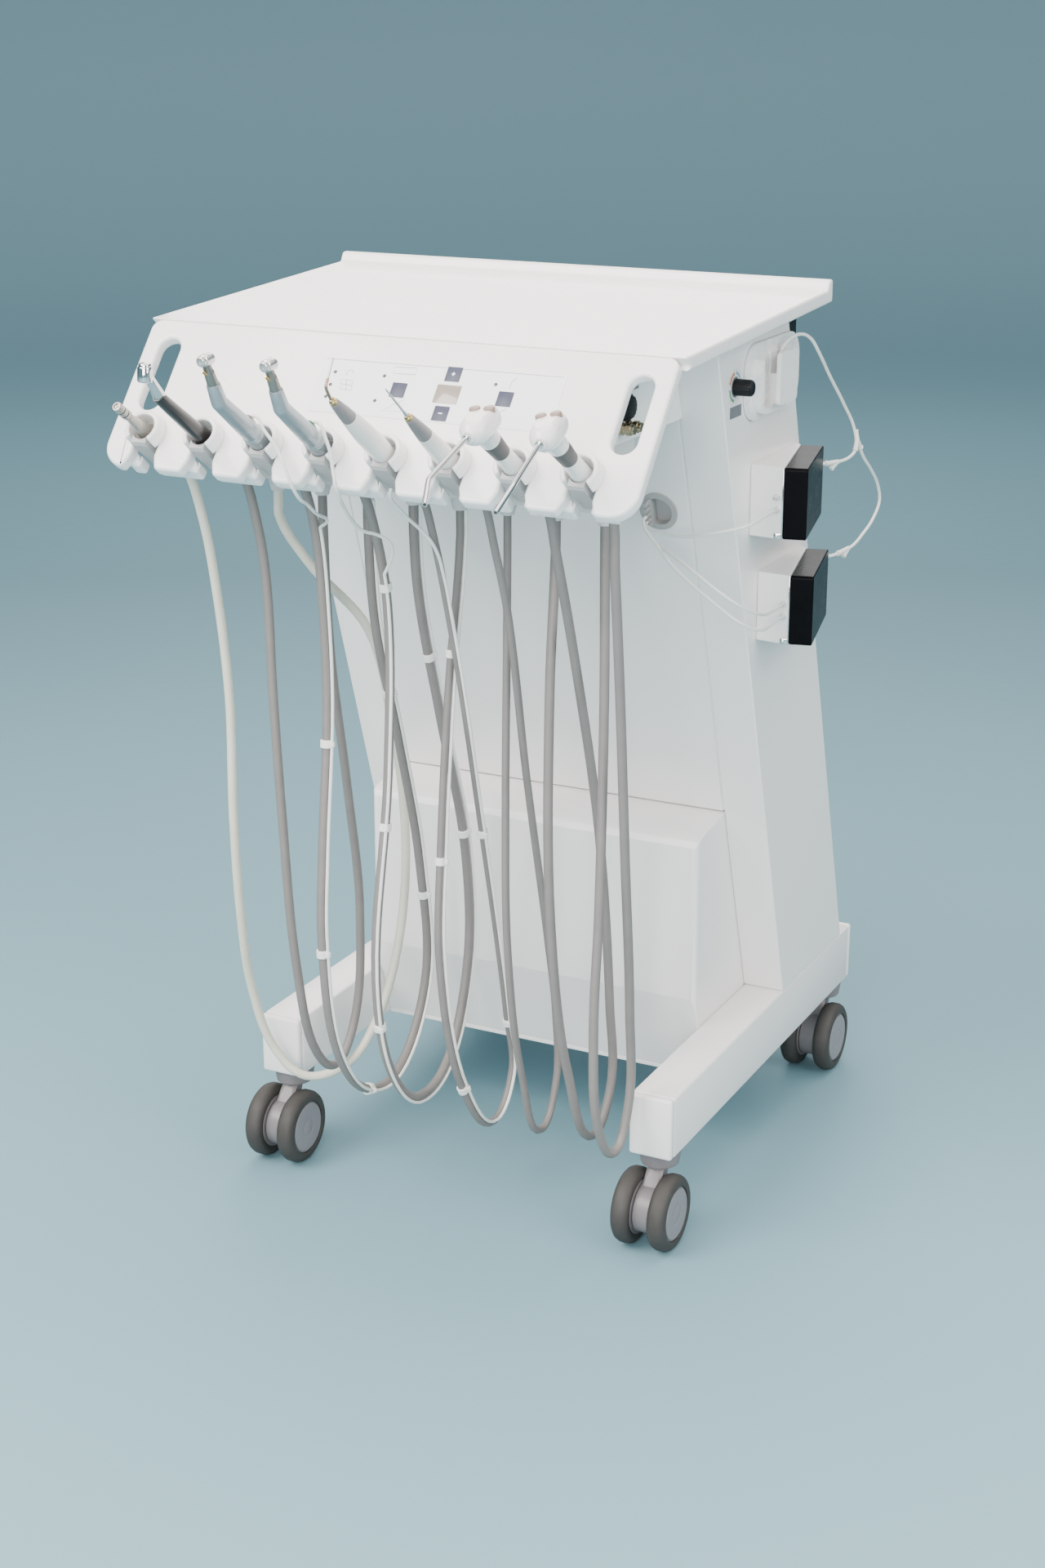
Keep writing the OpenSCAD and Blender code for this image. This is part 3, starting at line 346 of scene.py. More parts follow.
silicone = hose_finish("grey_silicone", (0.165, 0.150, 0.142), (0.21, 0.193, 0.184))
clear_silicone = hose_finish("clear_silicone", (0.58, 0.56, 0.47), (0.68, 0.66, 0.56), Coat_Weight=0.3)
HOSES = [
    (8.5, [(-206, -250, 662), (-204, -239, 610), (-200, -228, 492), (-198, -232, 378), (-202, -220, 272),
           (-206, -200, 192), (-190, -188, 127), (-162, -178, 100), (-130, -150, 110), (-112, -120, 154),
           (-102, -100, 217), (-100, -85, 297), (-103, -85, 379), (-105, -95, 432), (-110, -130, 542),
           (-142, -181, 614)]),
    (8.5, [(-148, -252, 662), (-147, -243, 617), (-144, -242, 505), (-140, -240, 390), (-135, -232, 243),
           (-133, -204, 142), (-132, -170, 116), (-130, -142, 142), (-127, -128, 256), (-123, -153, 397),
           (-119, -183, 531)]),
    (8.5, [(-92, -248, 662), (-90, -241, 586), (-88, -242, 502), (-85, -262, 366), (-83, -270, 292),
           (-81, -252, 174), (-80, -205, 116), (-80, -145, 108), (-78, -90, 180), (-76, -100, 306),
           (-73, -144, 450), (-71, -185, 568)]),
    (8.5, [(-34, -244, 662), (-33, -228, 596), (-31, -236, 443), (-30, -266, 262), (-29, -246, 165),
           (-28, -200, 116), (-28, -146, 122), (-27, -98, 211), (-26, -102, 331), (-25, -149, 473),
           (-24, -190, 602)]),
    (7, [(24, -246, 662), (25, -224, 595), (26, -202, 517), (27, -172, 395), (26, -134, 252),
         (24, -114, 176), (24, -104, 112), (23, -140, 76), (19, -195, 132), (15, -230, 274),
         (13, -221, 379), (14, -206, 518)]),
    (7, [(82, -248, 662), (81, -223, 602), (79, -183, 444), (77, -135, 271), (76, -115, 187),
         (76, -114, 117), (75, -142, 80), (74, -182, 152), (73, -209, 291), (70, -206, 422),
         (68, -199, 562)]),
    (8.5, [(140, -250, 662), (137, -210, 570), (133, -146, 387), (130, -112, 207), (128, -104, 117),
           (127, -138, 84), (125, -190, 167), (122, -222, 328), (118, -217, 534)]),
    (8.5, [(198, -262, 657), (193, -238, 549), (188, -212, 396), (184, -188, 242), (181, -182, 142),
           (178, -204, 108), (175, -232, 142), (172, -238, 235), (170, -225, 346), (165, -208, 531)]),
]


def tail_point(i, out):
    return holder(i) @ Vector((0, 0, -45 - out))


OUTLET_PITCH, OUTLET_Y = 45.6, -198
hose_lines = []
for i, (across, middle) in enumerate(HOSES):
    outlet_x = (i - 3.5) * OUTLET_PITCH
    route = [tail_point(i, 0.1), tail_point(i, 8), tail_point(i, 18)]
    route += [CART @ Vector(p) for p in middle + [(outlet_x, OUTLET_Y, z) for z in (658, 670, 680)]]
    line = smooth_path(route, 8)[::-1]
    hose_lines.append(line)
    tube = bmesh.new()
    sweep(tube, line, across / 2000)
    hose = piece(f"hose_{i + 1}_silicone", tube, clear_silicone if i == 0 else silicone, None,
                 (f"hose_{i + 1}",), 60, INSTRUMENTS[i] + "_body")
    round(length_of(line), 4)

# ---- Spray tubes and hose clips ----
# Three thin clear tubes bring spray water beside hoses 3, 4 and 5 to the handpieces.
# Pale moulded clips, snapped round the hose, hold each tube against it.

milky = hose_finish("milky_tube", (0.68, 0.69, 0.64), (0.82, 0.83, 0.79), Coat_Weight=0.6)
clip_nylon = hose_finish("clip_nylon", (0.74, 0.73, 0.70), (0.86, 0.85, 0.82))
SPRAY = [
    (2, "contra_angle_1_body", [
        (-89.8, -342.9, 774.3), (-87.4, -342.9, 774.3), (-83.7, -342.5, 771.9), (-80, -343.5, 765),
        (-71, -346, 757), (-62, -348, 746),
        (-55, -351, 735), (-50, -350, 722), (-50, -340, 710), (-56, -318, 700), (-61, -295, 687),
        (-66, -272, 678), (-74, -258, 671), (-86, -249, 664)]),
    (3, "contra_angle_2_body", [
        (-31.8, -342.9, 774.3), (-29.4, -342.9, 774.3), (-25.7, -342.5, 771.9), (-21, -343, 761),
        (-16, -345, 751), (-13, -347, 739),
        (-10, -348, 726), (-12, -339, 714), (-18, -324, 704), (-24, -300, 686), (-25, -280, 673),
        (-20, -265, 667), (-15, -255, 660), (-16, -247, 648), (-22, -242, 638), (-29.6, -238, 626.5)]),
    (4, "scaler_1_body", [
        (24, -319, 720), (21, -314, 712), (20, -300, 701), (21, -285, 689), (24, -270, 677),
        (28, -258, 664), (29.6, -249, 650), (29, -241, 635), (28.9, -234.6, 620)]),
]
CLIPS = {2: (71, 252, 453, 645, 889, 1119), 3: (118, 325, 519, 928, 1139),
         4: (100, 349, 576, 777, 1010, 1194)}
SPRAY_R, CLIP_GAP = 1.5, 0.2


def nearest(line, point):
    return min(range(len(line)), key=lambda k: (line[k] - point).length)


for number, (i, body, points) in enumerate(SPRAY, 1):
    hose_r = HOSES[i][0] / 2
    free = [CART @ p for p in smooth_path(points, 6)]
    down_hose = hose_lines[i][::-1]
    join = nearest(down_hose, free[-1]) + 1
    beside = down_hose[join:]
    frames = travelling_frames(beside, free[-1] - down_hose[join - 1])
    gap = (hose_r + SPRAY_R + CLIP_GAP) / 1000
    held = [p + u * gap for p, (_, u, _) in zip(beside, frames)]
    line = (free + held)[::-1]
    tube = bmesh.new()
    sweep(tube, line, SPRAY_R / 1000, 10)
    spray = piece(f"spray_tube_{number}", tube, milky, None, ("spray_tubes",), 60, body)
    round(length_of(line), 4)
    # Clips: a band round the hose and a smaller one round the tube, at their measured distances
    clips = bmesh.new()
    run, wanted = 0.0, list(CLIPS[i])
    for k in range(1, len(down_hose)):
        run += (down_hose[k] - down_hose[k - 1]).length * 1000
        if wanted and run >= wanted[0]:
            wanted.pop(0)
            if k < join + 1:
                continue
            ahead_of, u, v = frames[k - join]
            turned = Matrix((u, v, ahead_of)).transposed().to_4x4()
            at = Matrix.Translation(down_hose[k]) @ turned @ Matrix.Scale(0.001, 4)
            for x, r_in, r_out, h in (
                    (0, hose_r + 0.02, hose_r + 1.5, 3.6),
                    (hose_r + SPRAY_R + CLIP_GAP, SPRAY_R + 0.02, SPRAY_R + 1.1, 2.4)):
                spot = at @ move(x, 0, 0)
                skin(clips, [ring_of(r, z, 24, spot) for r, z in (
                    (r_in, -h), (r_out - 0.4, -h), (r_out, -h + 0.4), (r_out, h - 0.4), (r_out - 0.4, h),
                    (r_in, h), (r_in, -h))])
    piece(f"hose_{i + 1}_clips", clips, clip_nylon, None, (), 40, body)

# ---- Irrigation tubes ----
# Clear tubes from the comb in the front panel to the pumps, and from the pumps up to the
# pocket, where they hang ready. Moulded Y-pieces join them beside the pumps.

IRRIGATION = [
    [(226, 24, 781.3), (226, 24, 798), (230, 34, 808), (235, 54, 810), (238, 68, 804), (240, 84, 790),
     (240, 116, 764), (243, 150, 733), (247, 172, 705), (250, 168, 690), (250, 150, 684),
     (244, 125, 683), (235, 104, 684), (233.4, 98, 684), (235.2, 89.8, 684)],
    [(250, 171, 697), (251, 186, 680), (251, 215, 660), (250, 240, 640), (250, 246, 625),
     (250, 230, 611), (250, 200, 601), (250, 165, 595), (243, 142, 592), (235, 129, 591),
     (233.4, 123, 591), (235.2, 114.8, 591)],
    [(139, -65.3, 653.7), (139.5, -69, 652.5), (150, -75, 650), (180, -88, 650), (218, -97, 659),
     (240, -84, 664), (245, -60, 667), (246, -44, 668), (246, -29, 667.9)],
    [(139, -63.6, 648.5), (139.5, -67, 647.3), (150, -74, 640), (170, -86, 634), (195, -100, 626),
     (216, -103, 614), (236, -98, 600), (246, -76, 587), (246, -45, 578), (246, -20, 577),
     (246, -4, 577.4)],
    [(139, -67.1, 659), (138.5, -71, 657.5), (142, -76, 651), (154, -80, 640), (170, -83, 624),
     (192, -88, 609), (216, -90, 594), (236, -82, 578), (247, -62, 568), (246, -36, 565), (246, -16, 566),
     (246, -4, 565.9)],
]
for number, points in enumerate(IRRIGATION, 1):
    line = [CART @ p for p in smooth_path(points, 6)]
    tube = bmesh.new()
    sweep(tube, line, SPRAY_R / 1000, 10)
    flow = piece(f"irrigation_tube_{number}", tube, milky, "cart", ("irrigation_tubes",), 60)
    round(length_of(line), 4)

# ---- Y-pieces ----
# Small clear barbed Y-pieces join the irrigation tubes behind and beside the pumps,
# their arms pushed over the tubes' ends.

y_pieces = bmesh.new()
for a, b in (((250, 171, 697), (247.6, 172.6, 706)), ((250, 171, 697), (250.6, 165, 688)),
             ((250, 171, 697), (251.2, 179, 688)),
             ((245.6, 129, 683), (239.4, 114, 683.4)), ((245.6, 129, 683), (242, 123, 677)),
             ((249, 161, 594.6), (244, 145, 592.2)), ((249, 161, 594.6), (247, 154, 588))):
    a, b = Vector(a), Vector(b)
    line = [CART @ (a + (b - a) * t) for t in (-0.08, 0.5, 0.86, 0.87, 1.0)]
    frames = travelling_frames(line)
    skin(y_pieces, [[line[0]]] + [
        [p + r / 1000 * (u * cos(2 * pi * k / 16) + v * sin(2 * pi * k / 16)) for k in range(16)]
        for r, p, (_, u, v) in zip((2.2, 2.2, 2.2, 2.7, 2.5), line, frames)] + [[line[-1]]])
piece("irrigation_y_pieces", y_pieces, milky, "cart", (), 40)

# ---- Chassis ----
# Two welded box beams with plastic end caps, and a louvred plate between them that closes
# the cabinet from below. Sheet steel, powder-coated white.

paint = Finish("white_powder_coat", Coat_Weight=0.25, Coat_Roughness=0.12)
paint.vary((7, 4), (0.80, 0.775, 0.765), (0.86, 0.84, 0.83), (0.30, 0.10, 30),
    (850, 2, 0.0002, 0.10))
gloss = Finish("white_moulding", Coat_Weight=0.4, Coat_Roughness=0.08)
gloss.vary((9, 4), (0.84, 0.82, 0.81), (0.90, 0.885, 0.875), (0.24, 0.08, 45),
    (500, 2, 0.00015, 0.08))


def dressed(node, finish, round_mm, segments=2, angle=30, clamp=False):
    """The CAD piece with its sharp edges rounded, as folding, casting or moulding leaves them."""
    bm = bmesh.new()
    bm.from_mesh(frame["nodes"][node].data)
    bmesh.ops.remove_doubles(bm, verts=bm.verts, dist=2e-6)
    bmesh.ops.dissolve_limit(bm, angle_limit=radians(1), verts=bm.verts, edges=bm.edges)
    edges = [e for e in bm.edges if e.is_manifold and e.calc_face_angle(0) > radians(angle)]
    bmesh.ops.bevel(bm, geom=edges, offset=round_mm / 1000, segments=segments, profile=0.5,
                    affect="EDGES", clamp_overlap=clamp)
    obj = piece(node + "_finished", bm, finish, frame["nodes"][node]["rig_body"], (node,))
    weigh = obj.modifiers.new("faces_lead_shading", "WEIGHTED_NORMAL")
    weigh.keep_sharp = True
    return obj


def block(bm, place, size, round_mm=0.0, segments=2):
    """A box round place, its edges rounded."""
    made = bmesh.ops.create_cube(bm, size=1, matrix=place @ Matrix.Diagonal((*size, 1)))
    if round_mm:
        edges = list({e for v in made["verts"] for e in v.link_edges})
        bmesh.ops.bevel(bm, geom=edges, offset=round_mm / 1000, segments=segments, profile=0.5,
                        affect="EDGES", clamp_overlap=True)


for name, x in (("left_beam", -197), ("right_beam", 197)):
    beam, caps = bmesh.new(), bmesh.new()
    block(beam, CART @ move(x, 74, 120), (42, 468, 60), 2.2, 3)
    piece(name + "_box", beam, paint, "cart", (name,))
    for y in (-164, 312):
        block(caps, CART @ move(x, y, 120), (42, 8, 60), 2.8, 3)
    piece(name + "_end_caps", caps, paint, "cart")
dressed("base_plate", paint, 0.6)

# ---- Cabinet ----
# Leaning side columns, a flat front panel and the folded cover below it, and the rear
# panel with its vent and hooks: folded steel sheet in the same white coat.

for node, round_mm in (("left_column", 1.5), ("right_column", 1.5), ("front_panel", 0.5),
                       ("lower_cover", 1.2), ("rear_panel", 0.8)):
    dressed(node, paint, round_mm)


def turn(bm, place, points, segments=40):
    """A turned form of (radius, height) points; a point of radius 0 closes it on its axis."""
    rings = [ring_of(r, z, segments, place) if r > 0 else [place @ Vector((0, 0, z))] for r, z in points]
    skin(bm, rings)


LEAN = 18
TAN_LEAN = 0.32492


def front_y(z):
    return 112 - (z - 150) * TAN_LEAN


steel = Finish("satin_steel", Metallic=1.0)
steel.show(steel.between(steel.grain(300, 3, (1, 1, 0.2)), (0.52, 0.52, 0.52), (0.66, 0.66, 0.66)),
           0.26 + steel.grain(700, 2, (1, 1, 0.1)) * 0.16, steel.grain(1500, 2), 0.0001, 0.1)

# Pan-head screws that hold the rear panel to the columns
screws = bmesh.new()
for side in (-1, 1):
    for z in (190, 330, 520, 690, 780):
        at = CART @ move(side * 168, front_y(z) + 170, z) @ about("X", LEAN - 90)
        turn(screws, at, [(0, -0.5), (3.2, -0.5), (3.2, 0.7), (2.6, 1.5), (1.7, 1.9), (1.3, 1.9),
                          (1.1, 1.1), (0, 1.1)], 20)
piece("rear_panel_screws", screws, steel, "cart")

# ---- Worktop ----
# One moulded slab that falls slightly towards the user, with a rim along its back.
# Gloss white plastic over a board core, its edges well rounded.

dressed("worktop", gloss, 2.2, 3)

# ---- Console ----
# The thick sloping plate with its hand slots and holder slots, the box behind it and the
# block of hose collars below: white and pale grey mouldings, screwed together from behind.

dressed("console_plate", gloss, 3.0, 3)
dressed("console_box", gloss, 1.0)
collar = Finish("pale_grey_moulding", Coat_Weight=0.1)
collar.vary((20, 4), (0.56, 0.55, 0.54), (0.64, 0.63, 0.62), (0.42, 0.1, 60),
    (700, 2, 0.0002, 0.12))
dressed("hose_manifold", collar, 0.7)

# ---- Keypad ----
# A white membrane glued to the plate: four slate-blue keys, a grey display window,
# six lamps, and thin grey printed signs for what the keys do.

film = Finish("white_membrane", Coat_Weight=0.2, Coat_Roughness=0.2)
film.vary((11, 4), (0.85, 0.855, 0.87), (0.89, 0.895, 0.91), (0.36, 0.08, 80),
    (1200, 2, 0.0001, 0.1))
slate = Finish("slate_blue_key")
slate.vary((120, 4), (0.036, 0.041, 0.072), (0.052, 0.058, 0.095), (0.40, 0.1, 300),
    (1500, 2, 0.0001, 0.15))
window = Finish("display_window", Coat_Weight=0.8, Coat_Roughness=0.05)
window.vary((90, 3), (0.24, 0.20, 0.165), (0.31, 0.265, 0.22), (0.25, 0.06, 200))
ink = Finish("grey_ink")
ink.vary((900, 2), (0.17, 0.18, 0.20), (0.26, 0.27, 0.30), (0.5, 0.1, 500))
lamp_lens = Finish("lamp_lens", Coat_Weight=0.6)
lamp_lens.vary((800, 2), (0.03, 0.033, 0.03), (0.06, 0.065, 0.06), (0.2, 0.1, 400))


def stroke(bm, place, points, width, closed=False):
    """A flat printed line through the points, lying in place's XY plane."""
    points = [Vector((x, y, 0)) for x, y in points]
    if closed:
        points.append(points[0])
    left, right = [], []
    for i, p in enumerate(points):
        ahead_of = points[min(i + 1, len(points) - 1)] - points[max(i - 1, 0)]
        if closed and i in (0, len(points) - 1):
            ahead_of = points[1] - points[-2]
        across = Vector((-ahead_of.y, ahead_of.x, 0)).normalized() * width / 2
        left.append(place @ (p + across))
        right.append(place @ (p - across))
    skin(bm, [left, right], closed=False)


pad = bmesh.new()
block(pad, CONSOLE @ move(46, -50, 0.25), (222, 52, 0.5))
piece("keypad_film", pad, film, "cart", ("control_panel",))
KEYS = ((57, 31.5), (57, 68), (12, 50), (109, 50))
keys = bmesh.new()
for x, s in KEYS:
    block(keys, CONSOLE @ move(x, -s, 0.85), (13.4, 13.4, 0.8), 0.35)
piece("keypad_keys", keys, slate, "cart")
display = bmesh.new()
block(display, CONSOLE @ move(57, -50, 0.6), (22, 17, 0.5), 0.15)
piece("display_window", display, window, "cart")
lamps = bmesh.new()
for x, s in ((-51.5, 38), (-52, 50), (-52.4, 61.4), (-5, 38), (-6, 61.4), (97, 37.4)):
    turn(lamps, CONSOLE @ move(x, -s, 0.45), [(1.5, 0), (1.5, 0.3), (1.1, 0.65), (0, 0.8)], 16)
piece("keypad_lamps", lamps, lamp_lens, "cart")
signs = bmesh.new()
flat = CONSOLE @ move(0, 0, 0.58)
for outline, closed in (
        (((1, -29), (22, -28.4), (23, -34.6), (2.6, -35)), True),
        (((2.8, -70), (20, -58.7), (20.4, -69.4)), True),
        (((-43.7, -44), (-32.6, -45), (-31, -54), (-41, -53.4)), True),
        (((-38.4, -44.6), (-36.4, -53.6)), False), (((-43, -48.5), (-31.6, -49.6)), False),
        (((-40.7, -40), (-39.6, -36), (-36.5, -35), (-34, -38)), False),
        (((113.7, -29.6), (110.4, -34), (109.8, -40)), False),
        (((108.3, -63.5), (109.5, -60.4), (113, -59)), False),
        (((-63, -26), (154, -26)), False)):
    stroke(signs, flat, outline, 0.45, closed)
piece("keypad_signs", signs, ink, "cart")
marks = bmesh.new()
pale_flat = CONSOLE @ move(0, 0, 1.27)
stroke(marks, pale_flat, ((55.4, -31.5), (58.6, -31.5)), 1.1)
stroke(marks, pale_flat, ((57, -29.9), (57, -33.1)), 1.1)
stroke(marks, pale_flat, ((55.2, -68), (58.8, -68)), 1.0)
piece("key_marks", marks, film, "cart")

# ---- Holders ----
# White moulded rings, open below, and behind each a grey trough that takes the
# instrument's tail. Two small webs brace every trough in its slot.

dressed("holder_rings", gloss, 1.0)
trough = Finish("grey_trough", Coat_Weight=0.1)
trough.vary((25, 4), (0.33, 0.32, 0.315), (0.41, 0.40, 0.395), (0.40, 0.12, 70),
    (700, 2, 0.0002, 0.12))
dressed("holder_forks", trough, 0.4, clamp=True)

# ---- Pumps ----
# Two peristaltic pump heads on the right column: white wedge housings, chromed back
# plates with a latch, ports, rotors with rollers, and black covers hinged at the top.

dressed("pump_housings", paint, 1.2)
cover_black = Finish("black_cover", Specular_IOR_Level=0.03)
ripple = cover_black.node("ShaderNodeTexWave", {"wave_type": "RINGS", "rings_direction": "SPHERICAL"},
                          {"Vector": cover_black.where(), "Scale": 22.0, "Distortion": 0.6, "Detail": 1.0})
cover_black.show(cover_black.between(cover_black.grain(35, 4), (0.0025, 0.0025, 0.003),
                                     (0.005, 0.005, 0.006)),
                 0.24 + cover_black.grain(60) * 0.08, ripple, 0.0001, 0.04)
dressed("upper_pump_cover", cover_black, 1.2, 3)
dressed("lower_pump_cover", cover_black, 1.2, 3)
acetal = Finish("rotor_acetal")
acetal.vary((80, 4), (0.50, 0.51, 0.52), (0.60, 0.61, 0.62), (0.38, 0.1, 200),
    (900, 2, 0.0001, 0.1))
dressed("upper_pump_rotor", acetal, 0.4)
dressed("lower_pump_rotor", acetal, 0.4)
chrome = Finish("polished_chrome", Metallic=1.0)
chrome.vary((40, 3), (0.58, 0.58, 0.58), (0.68, 0.68, 0.68), (0.07, 0.06, 150),
    (500, 2, 0.00005, 0.06))


def pump_frame(k):
    return CART @ move(218, -19.93 + 25 * k, 641 - 102 * k)


plates = bmesh.new()
for k in (0, 1):
    face = pump_frame(k) @ move(33, -4, 0) @ about("Z", 13.2)
    block(plates, face @ move(-0.6, -0.35, 32), (1.0, 1.0, 63), 0.2)
    block(plates, face @ move(-4, -0.9, 3.4), (7, 1.6, 5), 0.3)
    turn(plates, face @ move(-5, -1.6, 3.4) @ about("X", 90), [(1.6, 0), (1.6, 0.9), (1.1, 1.2), (0, 1.2)],
         16)
piece("pump_plates", plates, chrome, "cart")
ports = bmesh.new()
for y, z in ((-29, 667.9), (-29, 679.4), (-4, 577.4), (-4, 565.9)):
    turn(ports, CART @ move(246, y, z) @ about("X", 90), [
        (0, -1.5), (2.7, -1.5), (2.7, 0.8), (2.1, 1.4), (2.0, 4.6), (1.7, 5), (0.8, 5), (0.8, 3), (0, 3)],
        20)
piece("pump_ports", ports, acetal, "cart")

# ---- Tube pocket ----
# A shallow white tray on the right column with a deeper socket for the irrigation tube,
# vacuum-formed and glued on; a thin grey seal shows round its edge.

dressed("tube_pocket", gloss, 0.9, 3, clamp=True)
seal = Finish("grey_seal")
seal.vary((200, 3), (0.30, 0.31, 0.31), (0.38, 0.39, 0.39), (0.6, 0.1, 90))
edge_line = bmesh.new()
POCKET = CART @ move(218, front_y(772) + 47, 743)
tray = []
for cx, cz, a0 in ((104, 43.5, 0), (24, 43.5, 90), (24, 24.5, 180), (104, 24.5, 270)):
    tray += [(cx + 24 * cos(radians(a0 + 10 * k)), cz + 24 * sin(radians(a0 + 10 * k))) for k in range(10)]
SIDE_FACE = Matrix(((0, 0, 1, 0), (1, 0, 0, 0), (0, 1, 0, 0), (0, 0, 0, 1)))
stroke(edge_line, POCKET @ move(0.25, 0, 0) @ SIDE_FACE, tray, 1.2, True)
piece("pocket_seal", edge_line, seal, "cart")

# ---- Knobs, labels and connectors ----
# Black turned knobs on grey dials, a pair of brass quick connectors inside the hand slot,
# and the comb of tube ends in the front panel's grommet.

knob_black = Finish("knob_black", Specular_IOR_Level=0.2)
knob_black.vary((50, 3), (0.004, 0.004, 0.0045), (0.010, 0.010, 0.011), (0.34, 0.12, 120),
    (900, 2, 0.0001, 0.12))
KNOB = (218, front_y(779) + 30, 779)


def fluted(bm, place, levels, flutes):
    """A knob of (share of the fluted radius, height) levels."""
    skin(bm, [[place @ Vector((0, 0, levels[0][1]))]] + [
        [place @ Vector((share * r * cos(2 * pi * k / len(flutes)),
                         share * r * sin(2 * pi * k / len(flutes)), z))
         for k, r in enumerate(flutes)] for share, z in levels] + [[place @ Vector((0, 0, levels[-1][1]))]])


side_knob = bmesh.new()
flutes = [7.2 if k % 2 else 6.9 for k in range(48)]
fluted(side_knob, CART @ move(*KNOB) @ SIDE_FACE,
       [(1, 0.5), (1.0, 14.6), (0.9, 16), (0.8, 16.6), (0.66, 16.2)], flutes)
turn(side_knob, CART @ move(*KNOB) @ SIDE_FACE, [(0, -14), (2.9, -14), (2.9, 1), (0, 1)], 24)
piece("side_knob_grip", side_knob, knob_black, "side_knob_body", ("side_knob",))
flow_knob = bmesh.new()
FLOW = (179, -208, 782)
fluted(flow_knob, CART @ move(*FLOW) @ SIDE_FACE, [(1, 0.5), (1, 5), (0.92, 5.4), (0.75, 8.6), (0.6, 8.9)],
       [11.9 if k % 4 < 2 else 11.3 for k in range(60)])
turn(flow_knob, CART @ move(*FLOW) @ SIDE_FACE, [(0, -5.5), (2.9, -5.5), (2.9, 1), (0, 1)], 24)
piece("flow_knob_grip", flow_knob, knob_black, "flow_knob_body", ("flow_knob",))

dial = bmesh.new()
turn(dial, CART @ move(*KNOB) @ SIDE_FACE, [(0, 0.02), (9.0, 0.02), (9.0, 0.2), (0, 0.2)], 40)
block(dial, CART @ move(218.15, -60, 757.5), (0.3, 26, 10), 0.0)
block(dial, CART @ move(179.15, -189, 797), (0.3, 22, 9), 0.0)
label = Finish("label_grey", Coat_Weight=0.2)
label.vary((200, 3), (0.12, 0.125, 0.145), (0.165, 0.17, 0.19), (0.4, 0.1, 90))
piece("dial_plates", dial, label, "cart")


def printed(name, low, high):
    colour = Finish(name)
    return colour.show(colour.between(colour.grain(500, 2), low, high), 0.45 + colour.grain(300) * 0.1)


for name, low, high, first, last in (
        ("orange_print", (0.42, 0.12, 0.03), (0.50, 0.17, 0.05), 100, 165),
        ("green_print", (0.06, 0.24, 0.10), (0.09, 0.30, 0.14), 185, 260),
        ("blue_print", (0.14, 0.34, 0.44), (0.19, 0.40, 0.50), 20, 85)):
    arc = bmesh.new()
    around = [(12 * cos(radians(a)), 12 * sin(radians(a))) for a in range(first, last + 1, 5)]
    stroke(arc, CART @ move(218.1, KNOB[1], KNOB[2]) @ SIDE_FACE, around, 2.6)
    for a in range(first, last + 1, 20):
        stroke(arc, CART @ move(218.1, KNOB[1], KNOB[2]) @ SIDE_FACE,
               [(r * cos(radians(a)), r * sin(radians(a))) for r in (14, 15.6)], 0.6)
    piece("dial_" + name, arc, printed(name, low, high), "cart")

brass = Finish("brass", Metallic=1.0)
brass.vary((150, 3), (0.33, 0.25, 0.15), (0.46, 0.37, 0.24), (0.22, 0.14, 300),
    (900, 2, 0.0001, 0.1))
dressed("air_connectors", brass, 0.3)
dressed("tube_grommet", trough, 0.3, clamp=True)
dressed("rear_bracket", knob_black, 0.8)
bare = Finish("plain_aluminium", Metallic=0.9)
bare.vary((90, 3), (0.40, 0.42, 0.44), (0.52, 0.54, 0.56), (0.36, 0.14, 200),
    (700, 2, 0.0001, 0.15))
dressed("inner_units", bare, 1.0)

# ---- Castors ----
# Four swivel castors: a nylon body on a steel pin, twin wheels with dark rubber treads
# pressed onto nylon discs, and a pale snap-in cap on each disc.

nylon = Finish("mauve_grey_nylon", Coat_Weight=0.1)
nylon.vary((30, 4), (0.15, 0.139, 0.147), (0.195, 0.181, 0.191), (0.36, 0.12, 90),
    (800, 2, 0.0002, 0.12))
tread = Finish("tread_rubber")
tread.vary((55, 5), (0.026, 0.024, 0.022), (0.05, 0.046, 0.042), (0.55, 0.2, 120),
    (1100, 3, 0.0003, 0.3))
cap_grey = Finish("wheel_cap", Coat_Weight=0.2)
cap_grey.vary((40, 4), (0.19, 0.18, 0.195), (0.23, 0.218, 0.235), (0.36, 0.1, 90),
    (800, 2, 0.0002, 0.1))
for corner, x, y in (("front_left", -197, -143), ("front_right", 197, -143),
                     ("rear_left", -197, 291), ("rear_right", 197, 291)):
    dressed(corner + "_castor", nylon, 0.8)
    body = corner + "_wheels_body"
    axle = CART @ move(x, y - 20, 36)
    tyres, discs, caps = bmesh.new(), bmesh.new(), bmesh.new()
    turn(discs, axle @ about("Y", 90), [(0, -10), (4, -10), (4, 10), (0, 10)], 24)
    for side in (-1, 1):
        out = axle @ about("Y", 90 * side)
        turn(tyres, out, [(26, 10), (30, 9), (32.4, 9.8), (34.6, 11.6), (36, 14.8), (36, 21.2),
                          (34.6, 24.4), (32.4, 26.2),
                          (29.5, 27), (26.2, 26.6), (25.6, 25), (25.6, 12), (26, 10)], 64)
        turn(discs, out, [(4, 9.2), (25.8, 9.2), (26.0, 10.6), (26.0, 24.4), (25.2, 25.2), (24.4, 25.2),
                          (0, 25.2)], 64)
        turn(caps, out, [(24.2, 25.0), (24.2, 25.9), (23.4, 26.5), (12, 26.8), (9, 26.6), (8.4, 26.3),
                         (7.6, 26.6), (0, 26.7)], 64)
    piece(corner + "_tyres", tyres, tread, body, (corner + "_wheels",))
    piece(corner + "_discs", discs, nylon, body)
    piece(corner + "_caps", caps, cap_grey, body)
